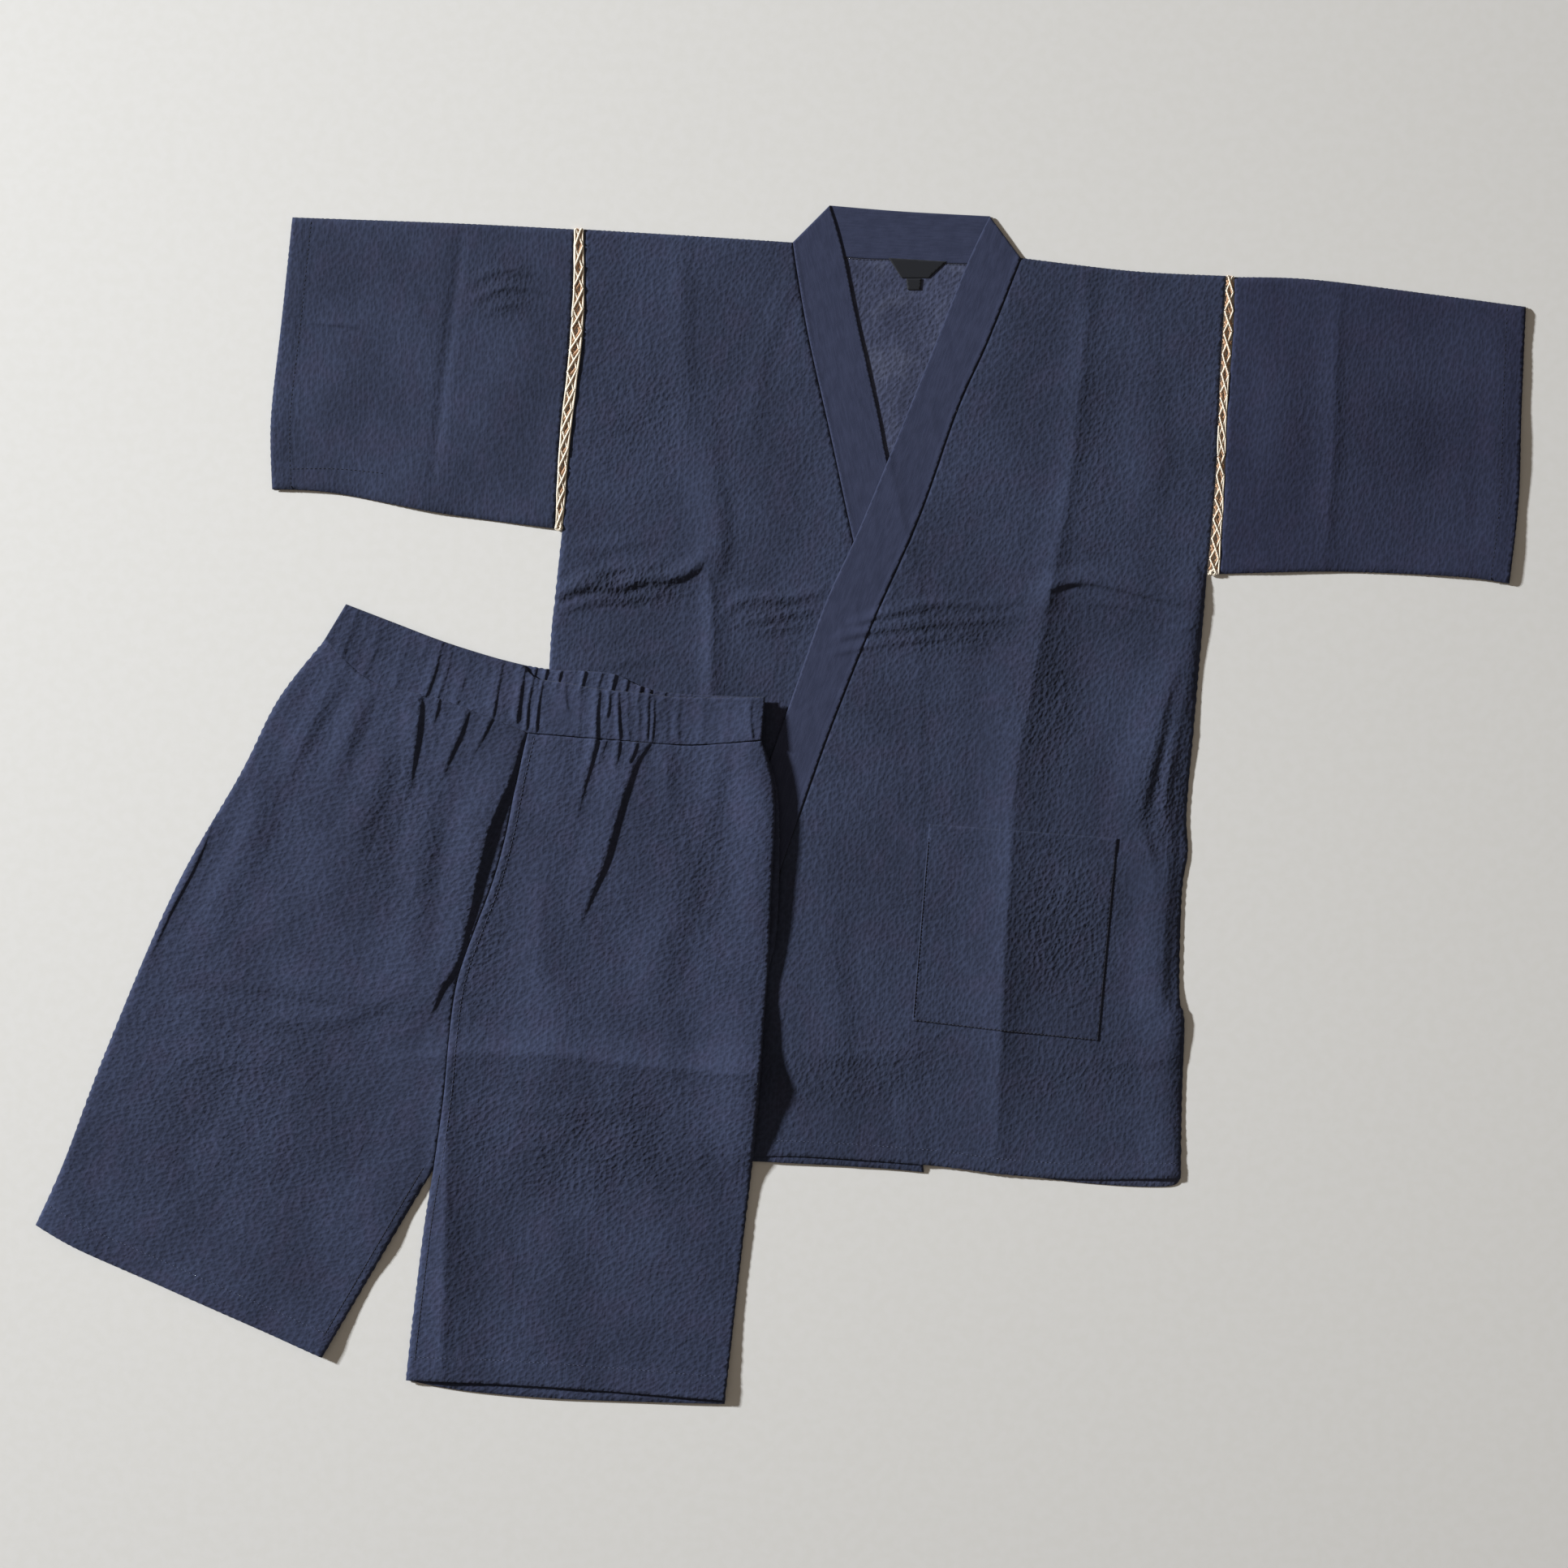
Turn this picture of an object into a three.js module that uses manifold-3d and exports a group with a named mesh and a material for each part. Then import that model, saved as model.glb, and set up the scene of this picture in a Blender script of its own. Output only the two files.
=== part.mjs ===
// A jinbei laid flat: a wrap jacket with laced-on sleeves, and elastic-waist shorts over its lower corner.
// Millimetres: x runs across the set, y from its hems to the collar, z up from the floor.
// The origin is on the floor under the middle of the set. Left and right are the wearer's.
import * as THREE from "three";
import { mergeVertices } from "three/addons/utils/BufferGeometryUtils.js";
import Module from "manifold-3d";

const wasm = await Module();
wasm.setup();

// Cloth and how it settles
const CLOTH = 1.2; // thickness of one layer
const GAP = 0.3; // between two pieces, on each other or at a seam
const CELL = 14; // spacing of the lattice on which heights are worked out
const SAG = 0.25; // how far a layer drops below its neighbours' mean in one pass of settling
const PASSES = 60; // passes of settling
const OPEN_PAST = 2; // how far a tube's hollow is cut past its open ends
const SKY = 90; // a height above everything
const FLATNESS = 0.06; // how far a surface may move where its flat triangles are merged
const SLIVER = 0.02; // double the area, in square millimetres, below which a triangle is a sliver

// Lattice that all layers share
const LATTICE = { left: -644, bottom: -518, columns: 92, rows: 74 };

// Edges of the pieces. Each is a short table of points that a smooth line runs through,
// and two pieces that meet at a seam share the same edge.
const EDGES = {
  // Jacket body
  rightShoulder: [{ x: -165, y: 482 }, { x: -66, y: 476 }, { x: 10, y: 471 }],
  leftShoulder: [{ x: 201, y: 458 }, { x: 295, y: 447 }, { x: 373, y: 443 }],
  rightArmhole: [{ x: -165, y: 482 }, { x: -165, y: 402 }, { x: -174, y: 328 }, { x: -183, y: 231 }],
  leftArmhole: [{ x: 373, y: 443 }, { x: 368, y: 359 }, { x: 364, y: 271 }, { x: 357, y: 193 }],
  rightSide: [{ x: -183, y: 231 }, { x: -189, y: 175 }, { x: -194, y: 115 }, { x: -203, y: -108 },
    { x: -209, y: -290 }],
  leftSide: [{ x: 357, y: 193 }, { x: 350, y: 110 }, { x: 340, y: -6 }, { x: 334, y: -128 },
    { x: 337, y: -189 }, { x: 335, y: -313 }],
  backNeck: [{ x: 10, y: 471 }, { x: 52, y: 459 }, { x: 102, y: 456 }, { x: 156, y: 453 },
    { x: 201, y: 458 }],
  backHem: [{ x: -209, y: -290 }, { x: -39, y: -296 }, { x: 121, y: -302 }, { x: 254, y: -317 },
    { x: 322, y: -320 }, { x: 335, y: -313 }],
  rightHem: [{ x: -209, y: -290 }, { x: -39, y: -298 }, { x: 73, y: -304 }, { x: 120, y: -308 }],
  leftHem: [{ x: -39, y: -295 }, { x: 21, y: -295 }, { x: 122, y: -302 }, { x: 189, y: -310 },
    { x: 254, y: -314 }, { x: 335, y: -313 }],
  rightFrontEdge: [{ x: 113, y: -19 }, { x: 110, y: -210 }, { x: 120, y: -308 }],
  leftFrontEdge: [{ x: -37, y: -161 }, { x: -39, y: -295 }],
  // Collar
  rightCollarFold: [{ x: 10, y: 471 }, { x: 41, y: 502 }],
  leftCollarFold: [{ x: 175, y: 493 }, { x: 201, y: 458 }],
  collarTop: [{ x: 41, y: 502 }, { x: 102, y: 497 }, { x: 175, y: 493 }],
  rightCollarSeam: [{ x: 10, y: 471 }, { x: 24, y: 388 }, { x: 42, y: 308 }, { x: 61, y: 220 },
    { x: 91, y: 89 }, { x: 113, y: -19 }],
  rightCollarEdge: [{ x: 41, y: 502 }, { x: 52, y: 464 }, { x: 64, y: 406 }, { x: 82, y: 326 },
    { x: 89, y: 289 }, { x: 114, y: 174 }],
  rightCollarEnd: [{ x: 113, y: -19 }, { x: 114, y: 174 }],
  leftCollarSeam: [{ x: 201, y: 458 }, { x: 173, y: 388 }, { x: 148, y: 332 }, { x: 116, y: 242 },
    { x: 77, y: 153 }, { x: 40, y: 60 }, { x: 11, y: -22 }, { x: -37, y: -161 }],
  leftCollarEdge: [{ x: 175, y: 493 }, { x: 156, y: 453 }, { x: 126, y: 378 }, { x: 89, y: 287 },
    { x: 63, y: 225 }, { x: 37, y: 168 }, { x: 9, y: 89 }, { x: -37, y: -42 }],
  leftCollarEnd: [{ x: -37, y: -161 }, { x: -37, y: -42 }],
  // Sleeves and the lacing that holds them
  rightSleeveTop: [{ x: -409, y: 492 }, { x: -271, y: 487 }, { x: -173, y: 482 }],
  rightSleeveCuff: [{ x: -409, y: 492 }, { x: -418, y: 406 }, { x: -427, y: 323 }, { x: -426, y: 264 }],
  rightSleeveUnderarm: [{ x: -426, y: 264 }, { x: -375, y: 261 }, { x: -285, y: 244 },
    { x: -189, y: 231 }],
  rightSleeveHead: [{ x: -173, y: 482 }, { x: -175, y: 418 }, { x: -180, y: 358 }, { x: -186, y: 298 },
    { x: -189, y: 231 }],
  rightLacingTop: [{ x: -173, y: 482 }, { x: -165, y: 482 }],
  rightLacingFoot: [{ x: -189, y: 231 }, { x: -183, y: 231 }],
  leftSleeveTop: [{ x: 380, y: 442 }, { x: 445, y: 440 }, { x: 550, y: 427 }, { x: 624, y: 417 }],
  leftSleeveCuff: [{ x: 624, y: 417 }, { x: 620, y: 321 }, { x: 618, y: 255 }, { x: 610, y: 185 }],
  leftSleeveUnderarm: [{ x: 367, y: 193 }, { x: 464, y: 195 }, { x: 564, y: 191 }, { x: 610, y: 185 }],
  leftSleeveHead: [{ x: 380, y: 442 }, { x: 379, y: 398 }, { x: 374, y: 331 }, { x: 371, y: 253 },
    { x: 367, y: 193 }],
  leftLacingTop: [{ x: 373, y: 443 }, { x: 380, y: 442 }],
  leftLacingFoot: [{ x: 357, y: 193 }, { x: 367, y: 193 }],
  // Shorts
  waistEndRight: [{ x: -364, y: 168 }, { x: -382, y: 138 }],
  waistEndLeft: [{ x: -13, y: 90 }, { x: -16, y: 54 }],
  waistBackTop: [{ x: -364, y: 168 }, { x: -283, y: 137 }, { x: -215, y: 117 }, { x: -163, y: 112 },
    { x: -116, y: 99 }, { x: -84, y: 93 }, { x: -13, y: 90 }],
  waistFrontTop: [{ x: -364, y: 168 }, { x: -283, y: 137 }, { x: -215, y: 117 }, { x: -204, y: 106 },
    { x: -152, y: 97 }, { x: -84, y: 90 }, { x: -13, y: 90 }],
  waistSeamRight: [{ x: -382, y: 138 }, { x: -344, y: 102 }, { x: -284, y: 86 }, { x: -212, y: 60 }],
  waistSeamLeft: [{ x: -212, y: 60 }, { x: -137, y: 54 }, { x: -76, y: 50 }, { x: -16, y: 54 }],
  centreSeam: [{ x: -212, y: 60 }, { x: -230, y: -24 }, { x: -256, y: -104 }, { x: -276, y: -178 },
    { x: -291, y: -306 }],
  rightOutseam: [{ x: -382, y: 138 }, { x: -421, y: 88 }, { x: -452, y: 27 }, { x: -508, y: -72 },
    { x: -566, y: -208 }, { x: -600, y: -298 }, { x: -624, y: -352 }],
  rightLegHem: [{ x: -624, y: -352 }, { x: -585, y: -374 }, { x: -501, y: -411 }, { x: -384, y: -463 }],
  rightInseam: [{ x: -291, y: -306 }, { x: -305, y: -329 }, { x: -354, y: -412 }, { x: -384, y: -463 }],
  leftInseam: [{ x: -291, y: -306 }, { x: -299, y: -355 }, { x: -309, y: -436 }, { x: -314, y: -482 }],
  leftLegHem: [{ x: -314, y: -482 }, { x: -242, y: -485 }, { x: -175, y: -489 }, { x: -47, y: -499 }],
  leftBackLegHem: [{ x: -314, y: -482 }, { x: -265, y: -491 }, { x: -197, y: -497 },
    { x: -129, y: -500 }, { x: -47, y: -502 }],
  leftOutseam: [{ x: -16, y: 54 }, { x: -5, y: 6 }, { x: -8, y: -79 }, { x: -11, y: -144 },
    { x: -21, y: -266 }, { x: -35, y: -395 }, { x: -47, y: -499 }],
  leftBackOutseam: [{ x: -16, y: 54 }, { x: -2, y: 4 }, { x: -3, y: -102 }, { x: -12, y: -152 },
    { x: -20, y: -266 }, { x: -35, y: -395 }, { x: -47, y: -502 }],
};

// Small flat pieces, by their corners
const POCKET = [{ x: 124, y: -16 }, { x: 282, y: -28 }, { x: 266, y: -198 }, { x: 178, y: -189 },
  { x: 110, y: -181 }];
const NECK_LABEL = [{ x: 90, y: 458 }, { x: 139, y: 455 }, { x: 124, y: 441 }, { x: 101, y: 441 }];
const SIZE_LABEL = [{ x: 105, y: 440 }, { x: 118, y: 440 }, { x: 117, y: 431 }, { x: 106, y: 431 }];
const LEFT_TIE = [{ x: -37.3, y: -96 }, { x: -37.3, y: -129 }, { x: -134, y: -247 }, { x: -153, y: -232 }];
const RIGHT_TIE = [{ x: -201, y: -78 }, { x: -177, y: -78 }, { x: -170, y: -272 }, { x: -194, y: -273 }];

// Folds: a ridge along the line from one point to the other, with its reach to each side and its rise
const JACKET_FOLDS = {
  rightFront: [
    { x1: -180, y1: 176, x2: -70, y2: 187, reach: 20, rise: 3.5 },
    { x1: -84, y1: 440, x2: -63, y2: 293, reach: 18, rise: 1.6 },
    { x1: -63, y1: 293, x2: -55, y2: 91, reach: 18, rise: 2 },
  ],
  leftFront: [
    { x1: 258, y1: 420, x2: 230, y2: 198, reach: 18, rise: 1.8 },
    { x1: 218, y1: 130, x2: 182, y2: -280, reach: 22, rise: 2.6 },
    { x1: 232, y1: 176, x2: 330, y2: 162, reach: 20, rise: 3 },
  ],
  rightSleeve: [{ x1: -268, y1: 462, x2: -288, y2: 268, reach: 18, rise: 2 }],
  leftSleeve: [{ x1: 466, y1: 400, x2: 458, y2: 225, reach: 18, rise: 2 }],
};
const SIDE_LIFT = [{ x1: -2, y1: 76, x2: -4, y2: -130, reach: 74, rise: 9 }];
const RIGHT_LEG_FOLDS = [
  { x1: -226, y1: 40, x2: -250, y2: -15, reach: 20, rise: 8 },
  { x1: -250, y1: -15, x2: -290, y2: -170, reach: 24, rise: 6 },
  { x1: -314, y1: 74, x2: -308, y2: 12, reach: 17, rise: 5 },
  { x1: -352, y1: 86, x2: -362, y2: 40, reach: 17, rise: 4 },
  { x1: -268, y1: 66, x2: -284, y2: 18, reach: 17, rise: 4 },
];
const LEFT_LEG_FOLDS = [
  { x1: -130, y1: 40, x2: -146, y2: -20, reach: 20, rise: 6 },
  { x1: -146, y1: -20, x2: -178, y2: -100, reach: 20, rise: 4 },
  { x1: -168, y1: 42, x2: -176, y2: 10, reach: 17, rise: 4 },
  { x1: -92, y1: 38, x2: -100, y2: 4, reach: 17, rise: 4 },
  { x1: -50, y1: 36, x2: -62, y2: -20, reach: 20, rise: 5 },
  { x1: -262, y1: -206, x2: -28, y2: -216, reach: 24, rise: 3.5 },
];
const WAIST_FOLDS = [
  { x1: -340, y1: 146, x2: -352, y2: 122, reach: 17, rise: 4 },
  { x1: -296, y1: 128, x2: -308, y2: 104, reach: 17, rise: 4 },
  { x1: -252, y1: 118, x2: -262, y2: 90, reach: 17, rise: 4 },
  { x1: -142, y1: 90, x2: -144, y2: 64, reach: 17, rise: 4 },
  { x1: -96, y1: 84, x2: -98, y2: 60, reach: 17, rise: 4 },
  { x1: -46, y1: 82, x2: -48, y2: 60, reach: 17, rise: 4 },
];

// Cloth and trimming colours
const NAVY = 0x3a4055;
const DEEP_NAVY = 0x2e3349;
const CORD = 0xe9ded0;
const LABEL_BLACK = 0x1c1e26;

const point = ({ x, y }) => new THREE.Vector2(x, y);

// The points of one edge: the table's own points and one between each two, on a smooth line
function edgePoints(rows) {
  if (rows.length === 2) return rows.map(point);
  return new THREE.SplineCurve(rows.map(point)).getPoints(2 * (rows.length - 1));
}

// Joins edges end to end into a closed outline, anticlockwise, and keeps which edge each side is from
function outlineOf(...names) {
  const runs = names.map((name) => ({ name, points: edgePoints(EDGES[name]) }));
  const first = runs[0].points;
  const second = runs[1].points;
  const startsAtSecond = Math.min(...[second[0], second.at(-1)].map((p) => p.distanceTo(first[0])));
  const endsAtSecond = Math.min(...[second[0], second.at(-1)].map((p) => p.distanceTo(first.at(-1))));
  if (startsAtSecond < endsAtSecond) first.reverse();
  const points = [];
  const sides = [];
  let end = first[0];
  for (const { name, points: run } of runs) {
    if (run.at(-1).distanceTo(end) < run[0].distanceTo(end)) run.reverse();
    for (const p of run.slice(0, -1)) {
      points.push(p);
      sides.push(name);
    }
    end = run.at(-1);
  }
  if (THREE.ShapeUtils.area(points) > 0) return { points, sides };
  const reversedSides = sides.map((_, k) => sides.at(-k - 2)).map((name) => name ?? sides.at(-1));
  return { points: points.reverse(), sides: reversedSides };
}

// A closed outline from corners alone
function cornersOutline(corners) {
  const points = corners.map(point);
  if (THREE.ShapeUtils.area(points) < 0) points.reverse();
  return { points, sides: points.map(() => "plain") };
}

// Moves each side of an outline inwards by its own distance
function moveIn({ points, sides }, distanceOf) {
  const count = points.length;
  const inward = points.map((p, k) => {
    const along = points[(k + 1) % count].clone().sub(p).normalize();
    return new THREE.Vector2(-along.y, along.x);
  });
  return points.map((p, k) => {
    const before = inward[(k + count - 1) % count];
    const after = inward[k];
    const a = distanceOf(sides[(k + count - 1) % count]);
    const b = distanceOf(sides[k]);
    const cross = before.x * after.y - before.y * after.x;
    if (Math.abs(cross) < 0.05) return p.clone().addScaledVector(after, b);
    const x = (a * after.y - b * before.y) / cross;
    const y = (b * before.x - a * after.x) / cross;
    return new THREE.Vector2(p.x + x, p.y + y);
  });
}

const seamAllowed = () => GAP / 2;

function distanceToLine(p, a, b) {
  const along = b.clone().sub(a);
  const t = THREE.MathUtils.clamp(p.clone().sub(a).dot(along) / along.lengthSq(), 0, 1);
  return p.distanceTo(a.clone().addScaledVector(along, t));
}

function isInside(p, outline) {
  let inside = false;
  outline.forEach((a, k) => {
    const b = outline[(k + 1) % outline.length];
    const crosses = a.y > p.y !== b.y > p.y;
    if (crosses && p.x < a.x + ((p.y - a.y) / (b.y - a.y)) * (b.x - a.x)) inside = !inside;
  });
  return inside;
}

// The rise of a set of folds at a place: the highest of them, each a rounded ridge
function riseAt(p, folds) {
  const rises = folds.map(({ x1, y1, x2, y2, reach, rise }) => {
    const off = distanceToLine(p, new THREE.Vector2(x1, y1), new THREE.Vector2(x2, y2)) / reach;
    return off < 1 ? rise * (0.5 + 0.5 * Math.cos(Math.PI * off)) : 0;
  });
  return Math.max(0, ...rises);
}

// Lattice places, row by row
const places = [];
for (let row = 0; row < LATTICE.rows; row += 1) {
  for (let column = 0; column < LATTICE.columns; column += 1) {
    places.push(new THREE.Vector2(LATTICE.left + column * CELL, LATTICE.bottom + row * CELL));
  }
}
const flatFloor = () => new Float64Array(places.length);

// The lattice places whose cells an outline reaches
function reachedPlaces(outline) {
  const reach = CELL * Math.SQRT2;
  return places.map((p) => isInside(p, outline)
    || outline.some((a, k) => distanceToLine(p, a, outline[(k + 1) % outline.length]) <= reach));
}

// Lays one layer of cloth on what lies below it, and lets it sag between its supports
function settle(reached, heap, folds) {
  const support = places.map((p, k) => {
    const rest = heap[k] > 0 ? heap[k] + GAP : 0;
    return rest + (reached[k] ? riseAt(p, folds) : 0);
  });
  let heights = Float64Array.from(support);
  const steps = [-1, 1, -LATTICE.columns, LATTICE.columns];
  for (let pass = 0; pass < PASSES; pass += 1) {
    heights = heights.map((height, k) => {
      const near = steps.map((step) => k + step).filter((n) => reached[n]);
      if (!reached[k] || near.length < 2) return height;
      const mean = near.reduce((sum, n) => sum + heights[n], 0) / near.length;
      return Math.max(support[k], mean - SAG);
    });
  }
  return heights;
}

// Raises the heap by a layer where that layer lies
function pileUp(heap, ...layers) {
  return heap.map((height, k) => Math.max(height,
    ...layers.map(({ reached, top }) => (reached[k] ? top[k] : 0))));
}

function solidFrom(geometry) {
  geometry.deleteAttribute("normal");
  geometry.deleteAttribute("uv");
  const merged = mergeVertices(geometry);
  return new wasm.Manifold(new wasm.Mesh({
    numProp: 3,
    vertProperties: merged.attributes.position.array,
    triVerts: Uint32Array.from(merged.index.array),
  }));
}

// The whole column of space over an outline
function prism(outline) {
  const shape = new THREE.Shape(outline);
  const geometry = new THREE.ExtrudeGeometry(shape, { depth: 2 * SKY, bevelEnabled: false });
  return solidFrom(geometry.translate(0, 0, -SKY));
}

// A closed slab over an outline's part of the lattice, between two sets of heights
function slab(outline, bottom, top) {
  const box = new THREE.Box2().setFromPoints(outline);
  const left = Math.floor((box.min.x - LATTICE.left) / CELL);
  const right = Math.ceil((box.max.x - LATTICE.left) / CELL);
  const low = Math.floor((box.min.y - LATTICE.bottom) / CELL);
  const high = Math.ceil((box.max.y - LATTICE.bottom) / CELL);
  const across = right - left;
  const up = high - low;
  const face = new THREE.PlaneGeometry(across * CELL, up * CELL, across, up);
  const count = face.attributes.position.count;
  const positions = [];
  for (const heights of [bottom, top]) {
    for (let k = 0; k < count; k += 1) {
      const column = left + (k % (across + 1));
      const row = high - Math.floor(k / (across + 1));
      const place = places[row * LATTICE.columns + column];
      positions.push(place.x, place.y, heights[row * LATTICE.columns + column]);
    }
  }
  const triangles = [];
  const faces = face.index.array;
  for (let k = 0; k < faces.length; k += 3) {
    const [a, b, c] = faces.slice(k, k + 3);
    triangles.push(c, b, a, a + count, b + count, c + count);
  }
  const rim = [];
  for (let k = 0; k < across; k += 1) rim.push(up * (across + 1) + k);
  for (let k = up; k > 0; k -= 1) rim.push(k * (across + 1) + across);
  for (let k = across; k > 0; k -= 1) rim.push(k);
  for (let k = 0; k < up; k += 1) rim.push(k * (across + 1));
  rim.forEach((a, k) => {
    const b = rim[(k + 1) % rim.length];
    triangles.push(a, b, b + count, a, b + count, a + count);
  });
  const geometry = new THREE.BufferGeometry();
  geometry.setAttribute("position", new THREE.Float32BufferAttribute(positions, 3));
  geometry.setIndex(triangles);
  return solidFrom(geometry);
}

const raised = (heights, rise) => heights.map((height) => height + rise);

// Merges the triangles of flat places: a vertex moves onto a neighbour where no surface moves by that
function mergeFlat(points, triangles) {
  const around = points.map(() => new Set());
  triangles.forEach((corners, k) => corners.forEach((v) => around[v].add(k)));
  const faceOf = (corners) => new THREE.Triangle(...corners.map((v) => points[v]));
  const normalOf = (corners) => {
    const { a, b, c } = faceOf(corners);
    return b.clone().sub(a).cross(c.clone().sub(a));
  };
  const neighboursOf = (v) => {
    const near = new Set([...around[v]].flatMap((k) => triangles[k]));
    near.delete(v);
    return near;
  };
  const canMove = (v, target) => {
    const near = neighboursOf(target);
    if ([...neighboursOf(v)].filter((n) => near.has(n)).length !== 2) return false;
    return [...around[v]].filter((k) => !triangles[k].includes(target)).every((k) => {
      const before = normalOf(triangles[k]);
      const after = normalOf(triangles[k].map((n) => (n === v ? target : n)));
      if (after.length() < SLIVER || before.normalize().dot(after.normalize()) < 0.98) return false;
      return Math.abs(after.dot(points[v].clone().sub(points[target]))) < FLATNESS;
    });
  };
  const move = (v, target) => {
    for (const k of [...around[v]]) {
      if (triangles[k].includes(target)) {
        triangles[k].forEach((n) => around[n].delete(k));
        triangles[k] = null;
      } else {
        triangles[k] = triangles[k].map((n) => (n === v ? target : n));
        around[target].add(k);
      }
    }
    around[v].clear();
  };
  points.forEach((_, v) => {
    const target = [...neighboursOf(v)].find((near) => canMove(v, near));
    if (target !== undefined) move(v, target);
  });
  return triangles.filter((corners) => corners);
}

function meshOf(name, solid, colour, roughness = 0.9) {
  const { vertProperties, triVerts } = solid.getMesh();
  const points = [];
  for (let k = 0; k < vertProperties.length; k += 3) {
    points.push(new THREE.Vector3(...vertProperties.slice(k, k + 3)));
  }
  const triangles = [];
  for (let k = 0; k < triVerts.length; k += 3) triangles.push([...triVerts.slice(k, k + 3)]);
  const kept = mergeFlat(points, triangles);
  const used = [...new Set(kept.flat())];
  const order = new Map(used.map((v, k) => [v, k]));
  const positions = used.flatMap((v) => points[v].toArray());
  const geometry = new THREE.BufferGeometry();
  geometry.setAttribute("position", new THREE.Float32BufferAttribute(positions, 3));
  geometry.setIndex(kept.flat().map((v) => order.get(v)));
  geometry.computeVertexNormals();
  const material = new THREE.MeshStandardMaterial({ color: colour, roughness, metalness: 0 });
  const mesh = new THREE.Mesh(geometry, material);
  mesh.name = name;
  return mesh;
}

// One layer of cloth of a given outline, lying on the heap
function panel(name, outline, heap, { folds = [], colour = NAVY } = {}) {
  const cut = moveIn(outline, seamAllowed);
  const reached = reachedPlaces(cut);
  const bottom = settle(reached, heap, folds);
  const top = raised(bottom, CLOTH);
  const mesh = meshOf(name, prism(cut).intersect(slab(cut, bottom, top)), colour);
  return { mesh, reached, top };
}

// Two layers closed along some sides and open at the others, as a sleeve or a waistband is when flat.
// The upper layer's own folds lift it off the lower one, and it can be cut back behind frontTop.
function tube(name, outline, heap, { open, lift = [], folds = [], colour = NAVY, frontTop } = {}) {
  const cut = moveIn(outline, seamAllowed);
  const hollow = moveIn(outline, (side) => (open.includes(side) ? -OPEN_PAST : CLOTH + GAP / 2));
  const reached = reachedPlaces(cut);
  const bottom = settle(reached, heap, lift);
  const lowerTop = raised(bottom, CLOTH);
  const ceiling = settle(reached, lowerTop, folds);
  const top = raised(ceiling, CLOTH);
  let solid = prism(cut).intersect(slab(cut, bottom, top));
  solid = solid.subtract(prism(hollow).intersect(slab(hollow, lowerTop, ceiling)));
  if (frontTop) {
    const edge = edgePoints(EDGES[frontTop]);
    const past = [edge.at(-1), edge[0]].map((p) => p.clone().add(new THREE.Vector2(0, SKY)));
    const away = [...edge, ...past];
    const halfway = lowerTop.map((height, k) => (height + ceiling[k]) / 2);
    solid = solid.subtract(prism(away).intersect(slab(away, halfway, flatFloor().fill(SKY))));
  }
  return { mesh: meshOf(name, solid, colour), reached, top };
}

const group = new THREE.Group();
const floor = flatFloor();
const add = (...pieces) => pieces.forEach(({ mesh }) => group.add(mesh));

// Sleeves and lacing lie flat beside the body
const rightSleeve = outlineOf("rightSleeveTop", "rightSleeveHead", "rightSleeveUnderarm",
  "rightSleeveCuff");
const leftSleeve = outlineOf("leftSleeveTop", "leftSleeveCuff", "leftSleeveUnderarm", "leftSleeveHead");
const rightLacing = outlineOf("rightLacingTop", "rightArmhole", "rightLacingFoot", "rightSleeveHead");
const leftLacing = outlineOf("leftLacingTop", "leftSleeveHead", "leftLacingFoot", "leftArmhole");
add(
  tube("right_sleeve", rightSleeve, floor,
    { open: ["rightSleeveHead", "rightSleeveCuff"], folds: JACKET_FOLDS.rightSleeve }),
  tube("left_sleeve", leftSleeve, floor,
    { open: ["leftSleeveHead", "leftSleeveCuff"], folds: JACKET_FOLDS.leftSleeve, colour: DEEP_NAVY }),
  tube("right_armhole_lacing", rightLacing, floor,
    { open: ["rightSleeveHead", "rightArmhole"], colour: CORD }),
  tube("left_armhole_lacing", leftLacing, floor,
    { open: ["leftSleeveHead", "leftArmhole"], colour: CORD }),
);

// Back of the jacket, with the back stretch of the collar and the labels
const back = panel("jacket_back", outlineOf("rightShoulder", "rightArmhole", "rightSide", "backHem",
  "leftSide", "leftArmhole", "leftShoulder", "backNeck"), floor);
const collarBack = panel("collar_back", outlineOf("collarTop", "leftCollarFold", "backNeck",
  "rightCollarFold"), floor);
const onBack = pileUp(floor, back, collarBack);
add(back, collarBack,
  panel("neck_label", cornersOutline(NECK_LABEL), onBack, { colour: LABEL_BLACK }),
  panel("size_label", cornersOutline(SIZE_LABEL), onBack, { colour: LABEL_BLACK }));

// Right front with its collar, then the left front and collar that wrap over it, and the pocket
const rightFront = panel("jacket_right_front", outlineOf("rightShoulder", "rightCollarSeam",
  "rightFrontEdge", "rightHem", "rightSide", "rightArmhole"), onBack, { folds: JACKET_FOLDS.rightFront });
const collarRight = panel("collar_right", outlineOf("rightCollarSeam", "rightCollarEnd",
  "rightCollarEdge", "rightCollarFold"), onBack, { colour: DEEP_NAVY });
const onRightFront = pileUp(onBack, rightFront, collarRight);
const leftFront = panel("jacket_left_front", outlineOf("leftShoulder", "leftArmhole", "leftSide",
  "leftHem", "leftFrontEdge", "leftCollarSeam"), onRightFront, { folds: JACKET_FOLDS.leftFront });
const collarLeft = panel("collar_left", outlineOf("leftCollarSeam", "leftCollarEnd", "leftCollarEdge",
  "leftCollarFold"), onRightFront, { colour: DEEP_NAVY });
const onLeftFront = pileUp(onRightFront, leftFront, collarLeft);
const leftTie = panel("left_front_tie", cornersOutline(LEFT_TIE), onLeftFront);
const rightTie = panel("right_side_tie", cornersOutline(RIGHT_TIE), onLeftFront);
const onJacket = pileUp(onLeftFront, leftTie, rightTie);
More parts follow.
